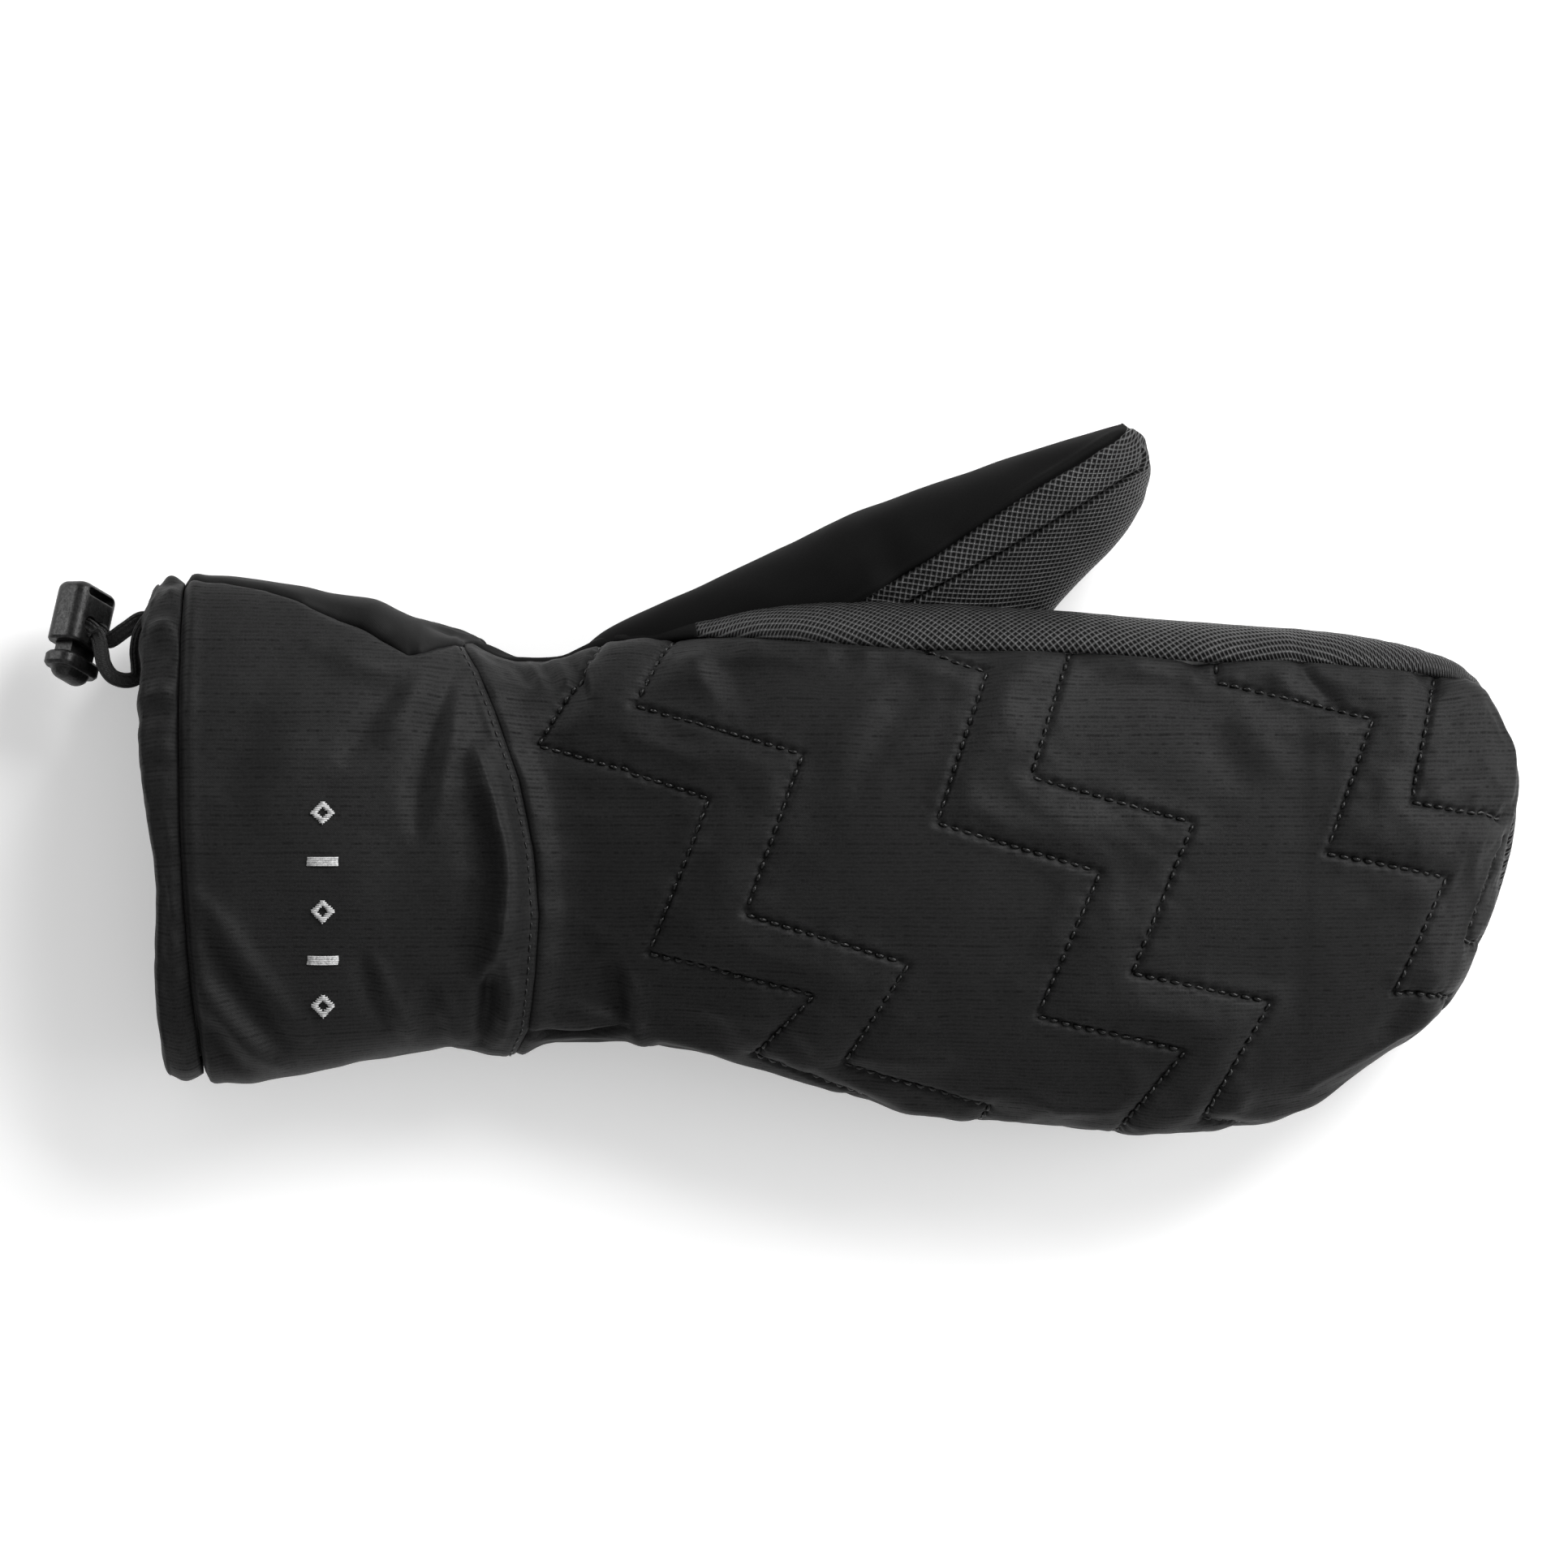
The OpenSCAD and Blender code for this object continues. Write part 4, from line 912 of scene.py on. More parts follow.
cuff_xs = cuff_stations()
CUFF_PLAIN, cuff_girth = cuff_rings(cuff_xs)
CUFF_PLAIN_N = normals_of(CUFF_PLAIN, closed=True)
CUFF_ALONG = cuff_xs[:, 0] - cuff_xs[0, 0]
CUFF_LEN = CUFF_ALONG[-1]
along = np.repeat(CUFF_ALONG[:, None], CUFF_PLAIN.shape[1], 1)
CUFF_D = cuff_relief(CUFF_PLAIN, cuff_girth, along, CUFF_LEN)
CUFF_OUT = above_table(CUFF_PLAIN + CUFF_D[..., None] * CUFF_PLAIN_N)
CUFF_N = normals_of(CUFF_OUT, closed=True)
cuff_uv = np.stack([along + 300, cuff_girth], -1) * 0.01
cuff_layers = (close_ring(CUFF_OUT), close_ring(CUFF_N),
               np.concatenate([cuff_uv, next_column(cuff_uv)], 1))
cuff_gusset = column_piece("cuff_side_gusset_cloth", *cuff_layers, 0, GUSSET_COLS)
cuff_back = column_piece("cuff_back_cloth", *cuff_layers, GUSSET_COLS, CUFF_LITTLE)
cuff_palm = column_piece("cuff_palm_cloth", *cuff_layers, CUFF_LITTLE, CUFF_OUT.shape[1])

# ---------------------------------------------------------------- hem tunnel
HEM_MOUTH_X, HEM_SEAM_X = -205.2, -195.3
HEM_DEPTH = 6.0
HEM_OUTER_POINTS = 14
HEM_FOLD = 0.9          # where the mouth's fold begins


def hem_profile():
    """(along, depth): from the seam over the outside, round the mouth and back inside."""
    length = HEM_SEAM_X - HEM_MOUTH_X
    points = []
    for t in np.linspace(0, 1, HEM_OUTER_POINTS):
        points.append((length * (1 - t) + HEM_FOLD * t,
                       1.3 * (1 - t) ** 3 - 0.75 * math.sin(PI * t) * 0.9))
    for a in np.radians(np.linspace(8, 172, 12)):
        points.append((HEM_FOLD - 1.2 * math.sin(a),
                       HEM_DEPTH / 2 - (HEM_DEPTH / 2 + 0.1) * math.cos(a)))
    for t in np.linspace(0, 1, 12):
        points.append((HEM_FOLD + (length - HEM_FOLD) * t,
                       HEM_DEPTH - 0.2 - 0.6 * math.sin(PI * t)))
    return np.array(points)


def hem_station(x):
    """Thumb-side edge, little-finger-side edge and thickness taper towards the mouth."""
    ends = ((67.8, 70.0), (-46.4, -47.5), (49.8, 52.8))
    return (x, *(np.interp(x, [-206, -195], values) for values in ends))


def build_hem():
    profile = hem_profile()
    rings = []
    for x, depth in profile:
        dense = section(hem_station(HEM_MOUTH_X + x), RING_ANGLES, max(depth, -1.0))
        rings.append(resample(dense, 0, 360, HEM_COLS)[0][:-1])
    plain = np.array(rings)
    plain[..., 0] += skew(plain)
    y = plain[..., 1]
    # the mouth is pushed in at the middle and at the thumb side
    push = 0.7 + 3.0 * bell(y + 1, 20.0) + 1.4 * smooth(59, 65, y) + 1.6 * smooth(63, 72, y)
    plain[..., 0] += push * (1 - smooth(0.5, 9.0, profile[:, :1]))
    girth = arc_lengths(np.concatenate([plain[0], plain[0][:1]]))[1:]
    # wrinkles fade at the seam and mouth, and are faint inside
    last = HEM_OUTER_POINTS - 1
    weight = np.array([math.sin(PI * k / last) if k <= last else 0.35
                       for k in range(len(profile))])[:, None]
    gather = noise(girth, 0, seed=41, scale=4.2) + 0.7 * noise(girth, 0, seed=42, scale=2.4)
    near_cord = bell(plain[0][:, 1] - 58, 26)
    d = weight * (gather * (0.26 + 0.75 * near_cord))[None]
    row = np.arange(len(profile))[:, None]
    d += 0.3 * noise(girth[None] + row * 0.8, row * 0.5, seed=43, scale=5.0) * weight
    # the side seam
    d += -0.7 * bell(plain[..., 1] - 65.6, 1.0) * (plain[..., 2] > 24) * weight

    def outward(grid):
        return normals_of(grid, closed=True, probe=(5, np.argmax(grid[5][:, 2])))

    outer = above_table(plain + d[..., None] * outward(plain), gap=0.12)
    along = arc_lengths(profile)
    uv = np.stack([np.repeat(along[:, None] + 520, HEM_COLS, 1),
                   np.repeat(girth[None], len(profile), 0)], -1) * 0.01
    return grid_mesh("hem_tunnel_cloth", outer, outer - 0.5 * outward(outer), uv, closed=True)


hem = build_hem()

# ---------------------------------------------------------------- thumb
# edge facing the cuff: y, x
THUMB_CUFF_EDGE = np.array([
    (40, -108), (50, -104), (55, -100), (57.4, -97.2), (60, -92), (64, -83), (69.2, -70.6),
    (74.7, -59.2), (80, -49), (85.5, -38.2), (90, -25.5), (95, -9.8), (98.5, 0), (102, 10.8),
    (104.0, 17.0), (105.5, 21.8), (106.2, 25.2)])
# edge facing the fingers: y, x
THUMB_FINGER_EDGE = np.array([
    (40, -2), (50, 2), (57, 5.5), (63.5, 10.5), (70.3, 17.1), (76, 22.4), (80, 25.8),
    (85.3, 29.4), (88.9, 31.2), (93, 32), (97.5, 32.4), (101, 31.2), (104, 28.6),
    (105.4, 27.3), (106.2, 25.8)])
# y, underside z, top z
THUMB_HEIGHTS = np.array([
    (40, 4, 30), (57, 2.5, 33), (66, 1.5, 35.5), (75, 1.2, 36.5), (85, 1.4, 36),
    (90, 1.8, 34.8), (95, 3, 32.4), (100, 5, 29), (103.5, 7.6, 25.4), (105.4, 11, 21.5),
    (106.25, 15.4, 17)])
# edges of the strip along the thumb's top: y, x
STRIP_CUFF_EDGE = np.array([
    (40, -58), (57, -46), (65.4, -34.2), (75, -18.6), (90.3, 3.8), (97.5, 15.6),
    (104.5, 26.2), (107, 28)])
STRIP_FINGER_EDGE = np.array([
    (40, -62), (57, -36), (66.9, -19.6), (75.6, -3.2), (85.7, 14.1), (95.4, 29.8),
    (101, 30.6), (107, 27)])
THUMB_YS = np.concatenate([np.linspace(50, 99.5, 60),
                           99.5 + 6.75 * np.sin(np.linspace(0, 1, 14)[1:] * PI / 2)])
THUMB_POWER = 2.25
THUMB_SEAM_ANGLE = 222          # seam low on the side facing the cuff
SOFT_COLS, GRIP_COLS, STRIP_COLS = 60, 70, 14
THUMB_FINE_ROWS = 150
THUMB_REFINE = 2                # fine columns per working column
THUMB_TURN = math.radians(36)   # direction of the thumb in plan, for its cloth pattern


def smooth_interp(table, at, col=1, sigma=1.6):
    """Linear interpolation of a table's column, rounded off by a Gaussian of sigma mm."""
    xs = np.linspace(table[0, 0] - 8, table[-1, 0], 700)
    values = np.interp(xs, table[:, 0], table[:, col])
    step = xs[1] - xs[0]
    r = int(3 * sigma / step)
    kernel = np.exp(-0.5 * (np.arange(-r, r + 1) * step / sigma) ** 2)
    kernel /= kernel.sum()
    padded = np.pad(values, r, mode="reflect", reflect_type="odd")
    return np.interp(at, xs, np.convolve(padded, kernel, "valid"))


def thumb_rings(ys, soft_cols, grip_cols, strip_cols, depth=0.0):
    """Rings in planes of constant y; angle 0 faces the fingers, 90 is up, 180 faces the cuff."""
    rings, girths = [], []
    turn = np.radians(RING_ANGLES)
    for y in ys:
        near_tip = smooth(90, 106, y)
        x0 = smooth_interp(THUMB_CUFF_EDGE, y) + 1.9 * depth * (1 - near_tip * 0.5)
        x1 = smooth_interp(THUMB_FINGER_EDGE, y) - 1.15 * depth * (1 - near_tip * 0.3)
        z0 = smooth_interp(THUMB_HEIGHTS, y, col=1) + depth
        z1 = smooth_interp(THUMB_HEIGHTS, y, col=2) - depth
        mid_x, half_x = (x0 + x1) / 2, max((x1 - x0) / 2, 0.3)
        mid_z, half_z = (z0 + z1) / 2, max((z1 - z0) / 2, 0.3)
        x = mid_x + half_x * super_power(np.cos(turn), THUMB_POWER)
        z = mid_z + half_z * super_power(np.sin(turn), THUMB_POWER)
        dense = np.stack([x, np.full_like(x, y), z], 1)

        def angle_on(edge):
            q = (np.interp(y, edge[:, 0], edge[:, 1]) - mid_x) / half_x
            q = np.clip(q, -0.995, 0.995)
            return math.degrees(math.acos(np.sign(q) * abs(q) ** (THUMB_POWER / 2)))

        cuffward = angle_on(STRIP_CUFF_EDGE)
        fingerward = min(angle_on(STRIP_FINGER_EDGE), cuffward - 6)
        soft, len0, _ = resample(dense, cuffward, THUMB_SEAM_ANGLE, soft_cols)
        grip, len1, _ = resample(dense, THUMB_SEAM_ANGLE, 360 + fingerward, grip_cols)
        strip, len2, _ = resample(dense, fingerward, cuffward, strip_cols)
        rings.append(np.vstack([soft, grip[1:], strip[1:-1]]))
        girths.append(np.r_[np.linspace(0, len0, soft_cols + 1),
                            len0 + np.linspace(0, len1, grip_cols + 1)[1:],
                            len0 + len1 + np.linspace(0, len2, strip_cols + 1)[1:-1]])
    return np.array(rings), np.array(girths)


GRIP_START = SOFT_COLS * THUMB_REFINE
STRIP_START = (SOFT_COLS + GRIP_COLS) * THUMB_REFINE


def thumb_relief(plain, girth):
    x, y, z = plain[..., 0], plain[..., 1], plain[..., 2]
    along = x * 0.85 + y * 0.53
    from_soft = np.minimum(np.abs(girth - girth[:, :1]), np.abs(girth - next_column(girth)))
    from_grip = np.abs(girth - girth[:, GRIP_START:GRIP_START + 1])
    from_strip = np.abs(girth - girth[:, STRIP_START:STRIP_START + 1])
    # seams, with ridges beside the strip
    d = -1.1 * bell(from_soft, 0.9) - 0.8 * bell(from_grip, 0.9) - 1.2 * bell(from_strip, 0.9)
    d += 0.5 * bell(from_soft - 2.4, 1.6) + 0.5 * bell(from_strip - 2.4, 1.6)
    d += (0.3 * noise(along, 0, seed=51, scale=5.0) * bell(from_soft, 4)
          + 0.35 * noise(along + 9, 0, seed=52, scale=4.2) * bell(from_strip, 4))
    d += (0.45 * noise(along, girth * 0.8, seed=53, scale=17.0)
          + 0.14 * noise(along, girth, seed=54, scale=7.0))
    # crumple where the thumb bends out of the hand
    bend = bell(along - 6, 16.0) * smooth(30, 10, np.abs(x + 18)) * smooth(12, 26, z)
    d += 1.0 * bend * noise(along, girth * 0.35, seed=55, scale=7.5)
    return d * (1 - smooth(103.5, 106, y))


def thumb_pattern(plain):
    """Flat pattern laid along the thumb, unrolled down its sides."""
    x, y, z = plain[..., 0], plain[..., 1], plain[..., 2]
    mid_x = (x.max(1, keepdims=True) + x.min(1, keepdims=True)) / 2
    drop = (z.max(1, keepdims=True) - z) * np.tanh((x - mid_x) / 3.0)
    cos, sin = math.cos(THUMB_TURN), math.sin(THUMB_TURN)
    return np.stack([x * cos + y * sin + 700, x * sin - y * cos + drop], -1) * 0.01


coarse, coarse_girth = thumb_rings(THUMB_YS, SOFT_COLS, GRIP_COLS, STRIP_COLS)
rows, cols = np.meshgrid(
    np.linspace(0, len(THUMB_YS) - 1, THUMB_FINE_ROWS),
    np.arange(coarse.shape[1] * THUMB_REFINE) / THUMB_REFINE, indexing="ij")
plain = sample_grid(coarse, rows, cols, True)
girth = sample_field(np.concatenate([coarse_girth, next_column(coarse_girth)], 1), rows, cols)
THUMB = above_table(plain + thumb_relief(plain, girth)[..., None]
                    * normals_of(plain, closed=True), gap=0.3)
THUMB_N = normals_of(THUMB, closed=True)
thumb_layers = [close_ring(grid) for grid in (THUMB, THUMB_N, thumb_pattern(plain))]
thumb_thickness = SHELL - 0.5 * smooth(104.6, 106.2, plain[:, :1, 1:2])     # thins at the tip
thumb_soft = column_piece("thumb_softshell", *thumb_layers, 0, GRIP_START, thumb_thickness)
thumb_palm = column_piece("thumb_palm_grip", *thumb_layers, GRIP_START, STRIP_START,
                          thumb_thickness)
thumb_strip = column_piece("thumb_strip_grip", *thumb_layers, STRIP_START, THUMB.shape[1],
                           thumb_thickness)


# ---------------------------------------------------------------- stitches
def add_tube(verts, faces, centres, across, up, radii):
    """Appends a capped six-sided tube; across and up are the axes of its cross-section."""
    sides = 6
    first, rings = len(verts), len(centres)
    for i in range(rings):
        for k in range(sides):
            a = 2 * PI * k / sides
            verts.append(centres[i] + radii[i] * (math.cos(a) * across[i] + math.sin(a) * up[i]))
    for i in range(rings - 1):
        ring, ring2 = first + i * sides, first + (i + 1) * sides
        for k in range(sides):
            k2 = (k + 1) % sides
            faces.append((ring + k, ring + k2, ring2 + k2, ring2 + k))
    faces.append(tuple(first + k for k in range(sides))[::-1])
    faces.append(tuple(first + (rings - 1) * sides + k for k in range(sides)))


def stitch_rows(name, rows, pitch, length, radius, lift, sink):
    """Thread stitches along rows of (points, normals), each diving into its hole at both ends."""
    verts, faces = [], []
    t = np.linspace(0, 1, 7)
    ends = np.abs(2 * t - 1)
    for points, normals in rows:
        arc = arc_lengths(points)
        start = 0.4
        while start + length < arc[-1]:
            at = start + length * t
            normal = unit(interp_points(at, arc, normals))
            top = lift + radius * 0.5
            height = top - (top + sink) * ends ** 3
            centres = interp_points(at, arc, points) + height[:, None] * normal
            tangent = unit(np.gradient(centres, axis=0))
            across = unit(np.cross(tangent, normal))
            radii = radius * (0.55 + 0.45 * np.sqrt(np.clip(1 - ends ** 4, 0, 1)))
            add_tube(verts, faces, centres, across * 1.1, np.cross(across, tangent) * 0.9, radii)
            start += pitch * float(RNG.uniform(0.97, 1.03))
    return raw_mesh(name, verts, faces)


def quilting_rows():
    """Straight runs meet at needle holes, so each run is stitched by itself."""
    runs = []
    for indices, _, arc, corners in LINES:
        rows = indices[:, 0] * (BACK.shape[0] - 1) / (ROWS - 1)
        cols = indices[:, 1] * (BACK.shape[1] - 1) / BACK_COLS
        keep = indices[:, 0] < ROWS - 9
        points = sample_grid(BACK, rows, cols)[keep]
        normals = sample_grid(BACK_N, rows, cols)[keep]
        arc = arc[keep]
        cuts = [c for c in corners if c < arc[-1] - 1] + [arc[-1]]
        for start, stop in zip(cuts[:-1], cuts[1:]):
            part = (arc >= start) & (arc <= stop)
            if part.sum() > 8:
                runs.append((points[part], normals[part]))
    return runs


quilt_thread = stitch_rows("quilting_stitches", quilting_rows(), pitch=3.2, length=2.6,
                           radius=0.40, lift=0.30, sink=0.6)
wrist_row = int(round((CUFF_LEN - 1.7) / CUFF_STEP))
wrist_cols = slice(GUSSET_COLS + 2, CUFF_LITTLE - 2)
wrist_thread = stitch_rows(
    "wrist_topstitch", [(CUFF_OUT[wrist_row, wrist_cols], CUFF_N[wrist_row, wrist_cols])],
    pitch=2.7, length=2.1, radius=0.25, lift=0.06, sink=0.4)
# just beside the seam of the thumb's grip panel
stitch_col = GRIP_START + 3
below_tip = THUMB[:, stitch_col, 1] < 104
thumb_thread = stitch_rows(
    "thumb_topstitch", [(THUMB[below_tip, stitch_col], THUMB_N[below_tip, stitch_col])],
    pitch=2.8, length=1.9, radius=0.2, lift=-0.02, sink=0.35)

# ---------------------------------------------------------------- emblem
# plain diamonds and bars in satin stitch, in turn across the cuff
EMBLEM_X = -161.5
EMBLEM_YS = [15, 3.5, -8, -19.5, -30]
DIAMOND = 2.9 * np.array([(-1, 0), (0, -1), (1, 0), (0, 1)])
DIAMOND_HOLE = 1.25
BAR = np.array([(-3.6, -0.95), (3.6, -0.95), (3.6, 0.95), (-3.6, 0.95)])
SATIN_STEP = 0.42
SATIN_RADIUS = 0.23


def cuff_point(x, y):
    """Point and normal of the cuff's back at plan (x, y)."""
    back = CUFF_OUT[:, GUSSET_COLS:CUFF_LITTLE + 1]
    squared = ((back[..., 0] - x) ** 2 + (back[..., 1] - y) ** 2
               + np.where(back[..., 2] < 26, 1e6, 0))
    row, col = np.unravel_index(squared.argmin(), squared.shape)
    n = CUFF_N[row, GUSSET_COLS + col]
    p = back[row, col]
    z = p[2] - (n[0] * (x - p[0]) + n[1] * (y - p[1])) / max(n[2], 0.2)
    return np.array([x, y, z]), n


def satin_threads(outline):
    """Threads side by side across a convex outline: (x start, x end, y)."""
    threads = []
    for y in np.arange(outline[:, 1].min() + SATIN_STEP / 2, outline[:, 1].max(), SATIN_STEP):
        xs = []
        for a, b in zip(outline, np.roll(outline, -1, 0)):
            if (a[1] - y) * (b[1] - y) < 0:
                xs.append(a[0] + (y - a[1]) / (b[1] - a[1]) * (b[0] - a[0]))
        if len(xs) == 2 and abs(xs[0] - xs[1]) > 0.3:
            threads.append((min(xs), max(xs), y))
    return threads


def build_emblem():
    verts, faces = [], []
    for i, mark_y in enumerate(EMBLEM_YS):
        outline, hole = (DIAMOND, DIAMOND_HOLE) if i % 2 == 0 else (BAR, 0)
        for x0, x1, y in satin_threads(outline):
            spans = [(x0, x1)]
            if abs(y) < hole:
                gap = hole - abs(y)
                spans = [(x0, -gap), (gap, x1)]
            for start, stop in spans:
                jitter = RNG.uniform(-0.12, 0.12, 2)
                centres, normals = [], []
                for t in np.linspace(0, 1, 6):
                    x = (EMBLEM_X + start + jitter[0]
                         + (stop - start + jitter[1] - jitter[0]) * t)
                    point, normal = cuff_point(x, mark_y + y)
                    lift = 0.10 + 0.42 * (1 - abs(2 * t - 1) ** 2.5)
                    centres.append(point + lift * normal)
                    normals.append(normal)
                centres, normals = np.array(centres), np.array(normals)
                tangent = unit(np.gradient(centres, axis=0))
                across = unit(np.cross(tangent, normals))
                add_tube(verts, faces, centres, across, normals, [SATIN_RADIUS] * len(centres))
    return raw_mesh("cuff_emblem_stitching", verts, faces)


emblem = build_emblem()

# ---------------------------------------------------------------- inner layers of the hand
WADDING_GAP = 2.6       # depth of the wadding under the padded shell
LAYER_ROWS, LAYER_COLS = 120, 150
OPEN_ROWS = 3           # rows left off at the tip
rows, cols = np.meshgrid(
    np.linspace(0, ROWS - 1, LAYER_ROWS),
    np.linspace(0, BACK_COLS + PALM_COLS, LAYER_COLS, endpoint=False), indexing="ij")
LAYER_PLAIN = sample_grid(PLAIN, rows, cols, True)


def wadding_outside():
    """Follows the quilted shell, so it is pulled in under every row of stitches."""
    grid = blur(sample_grid(PADDED, rows, cols, True), 0.6, 0.6, True)
    from_line = sample_field(QUILT_DIST, rows, cols, True)
    seams = np.minimum(np.minimum(THUMB_DIST, LITTLE_DIST), WRIST_DIST)
    from_seam = np.maximum(sample_field(seams, rows, cols, True), 0)
    depth = (WADDING_GAP + 0.9 * bell(from_line, 4.0) * (cols <= BACK_COLS)
             + 1.6 * bell(from_seam, 5.0))
    grid = grid - depth[..., None] * normals_of(grid, closed=True)
    return above_table(grid, gap=WADDING_GAP * 0.7)


def at_depth(depth):
    """Smooth inner surface at a depth under the plain outline, closing towards the tip."""
    centre = LAYER_PLAIN.mean(1, keepdims=True)
    half = (LAYER_PLAIN.max(1, keepdims=True) - LAYER_PLAIN.min(1, keepdims=True)) / 2
    shrink = np.maximum(0.02, 1 - depth / np.maximum(half, 1e-3))
    shrink[..., 0] = 1
    out = above_table(centre + (LAYER_PLAIN - centre) * shrink, gap=depth)
    x = out[..., 0]
    out[..., 0] = np.where(x > 14, 14 + (x - 14) * (1 - depth / 105.0), x)
    return out


def hand_layer(name, outer, inner):
    return grid_mesh(name, outer[:-OPEN_ROWS], inner[:-OPEN_ROWS], closed=True)


wadding_hand = hand_layer("hand_wadding", wadding_outside(), at_depth(7.4))
membrane_hand = hand_layer("hand_membrane_film", at_depth(8.0), at_depth(8.6))
lining_hand = hand_layer("hand_fleece_lining", at_depth(9.1), at_depth(10.4))


# ---------------------------------------------------------------- inner layers of the cuff
def cuff_inside():
    """A smooth surface under the creased cuff, below all its valleys, and its normals."""
    d = CUFF_D.copy()
    for _ in range(3):
        d = np.minimum(d, np.minimum(np.roll(d, 1, 1), np.roll(d, -1, 1)))
        d[1:-1] = np.minimum(d[1:-1], np.minimum(d[:-2], d[2:]))
    d = blur(np.minimum(d, 0.4), 2.0, 2.0, True)
    grid = above_table(CUFF_PLAIN + d[..., None] * CUFF_PLAIN_N)
    return grid, unit(blur(normals_of(grid, closed=True), 2.0, 2.0, True))


CUFF_IN, CUFF_IN_N = cuff_inside()


def cuff_layer(name, depths, row_span, counts, wobble=None):
    """A layer between two depths over a span of the shell's rows.

    counts are its rows and columns; wobble(along, girth) raises it, and such a layer has UVs."""
    rows, cols = np.meshgrid(
        np.linspace(*row_span, counts[0]),
        np.linspace(0, CUFF_OUT.shape[1], counts[1], endpoint=False), indexing="ij")
    grid = sample_grid(CUFF_IN, rows, cols, True)
    normals = unit(sample_grid(CUFF_IN_N, rows, cols, True))
    along = np.interp(rows, np.arange(len(CUFF_ALONG)), CUFF_ALONG)
    girth = cols * 1.35
    raised, uv = 0 * along, None
    if wobble:
        raised, uv = wobble(along, girth), np.stack([along, girth], -1) * 0.01
    outer, inner = (grid - (depth - raised)[..., None] * normals for depth in depths)
    return grid_mesh(name, outer, inner, uv, closed=True)


def elastic_wobble(along, girth):
    return 0.12 * noise(girth, 0, seed=63, scale=2.2)


def lining_wobble(along, girth):
    gathers = np.abs(noise(girth, along * 0.1, seed=62, scale=7.0))
    return (0.22 * noise(along, girth, seed=61, scale=14.0)
            - 0.35 * gathers * bell(along - CUFF_LEN + 8, 9))


last_row = len(CUFF_OUT) - 1
wadding_cuff = cuff_layer("cuff_wadding", (2.1, 3.7), (3, last_row - 1), (44, 130))
wrist_elastic = cuff_layer("wrist_elastic_band", (4.0, 4.5),
                           (last_row * 0.77, last_row * 0.95), (14, 200), elastic_wobble)
lining_cuff = cuff_layer("cuff_fleece_lining", (4.9, 6.2), (0, last_row - 1), (70, 180),
                         lining_wobble)


# ---------------------------------------------------------------- inner layers of the thumb
def thumb_layer(name, *depths):
    ys = np.linspace(60, 100, 26)
    ys = ys[ys < 104.5 - depths[0] * 0.7]
    outer, inner = (thumb_rings(ys, 24, 30, 8, depth)[0] for depth in depths)
    return grid_mesh(name, outer, inner, closed=True)


wadding_thumb = thumb_layer("thumb_wadding", 2.2, 5.6)
membrane_thumb = thumb_layer("thumb_membrane_film", 6.0, 6.6)
lining_thumb = thumb_layer("thumb_fleece_lining", 7.0, 8.3)

# ---------------------------------------------------------------- drawcord
JOINTS = {joint["name"]: joint for joint in frame["joints"]}
LOCK_X = np.array(JOINTS["cord_lock_slide"]["axis"], float)
LOCK_Z = -np.array(JOINTS["plunger_press"]["axis"], float)
LOCK_Y = np.cross(LOCK_Z, LOCK_X)
SLOT = next(m for m in frame["record"]["mounts"] if m["name"] == "webbing_slot")
LOCK_CENTRE = np.array(SLOT["pos_m"]) * 1000 + 7.7 * LOCK_Z
LOOP_END = np.array([-200.6, 62.6, 31.5])       # the cord's two ends inside the hem
LEG_END = np.array([-201.2, 60.2, 24.0])
CORD_THICK = 0.9
CORD_RIBS = 5
CORD_SIDES = 52         # points round the cord
CORD_STEPS = 26         # rings for each point of its path


def in_lock(x, y, z):
    return LOCK_CENTRE + x * LOCK_X + y * LOCK_Y + z * LOCK_Z


def cord_profile(width):
    """Flat rounded outline with ribs running along the cord."""
    points = []
    for k in range(CORD_SIDES):
        a = 2 * PI * (k + 0.5) / CORD_SIDES
        x = math.copysign(abs(math.cos(a)) ** 0.55, math.cos(a))
        y = math.copysign(abs(math.sin(a)) ** 0.5, math.sin(a))
        y *= 1 + 0.34 * math.cos(x * PI * CORD_RIBS) * (abs(x) < 0.97)
        points.append((x * width / 2, y * CORD_THICK / 2))
    return np.array(points)


def flat_cord(name, path, width):
    """A flat ribbed elastic; path is a list of (point, direction of its width)."""
    steps = CORD_STEPS * (len(path) - 1)
    at = np.linspace(0, len(path) - 1, steps)
    centres = spline([point for point, _ in path], at)
    wide = spline([direction for _, direction in path], at)
    tangent = unit(np.gradient(centres, axis=0))
    wide = unit(wide - (wide * tangent).sum(1, keepdims=True) * tangent)
    normal = np.cross(tangent, wide)
    profile = cord_profile(width)
    grid = (centres[:, None] + profile[None, :, :1] * wide[:, None]
            + profile[None, :, 1:] * normal[:, None])
    uv = np.stack([np.repeat(arc_lengths(centres)[:, None], CORD_SIDES, 1),
                   np.repeat(np.arange(CORD_SIDES)[None] * 0.25, steps, 0)], -1) * 0.01
    return grid_mesh(name, grid, uv=uv, closed=True)


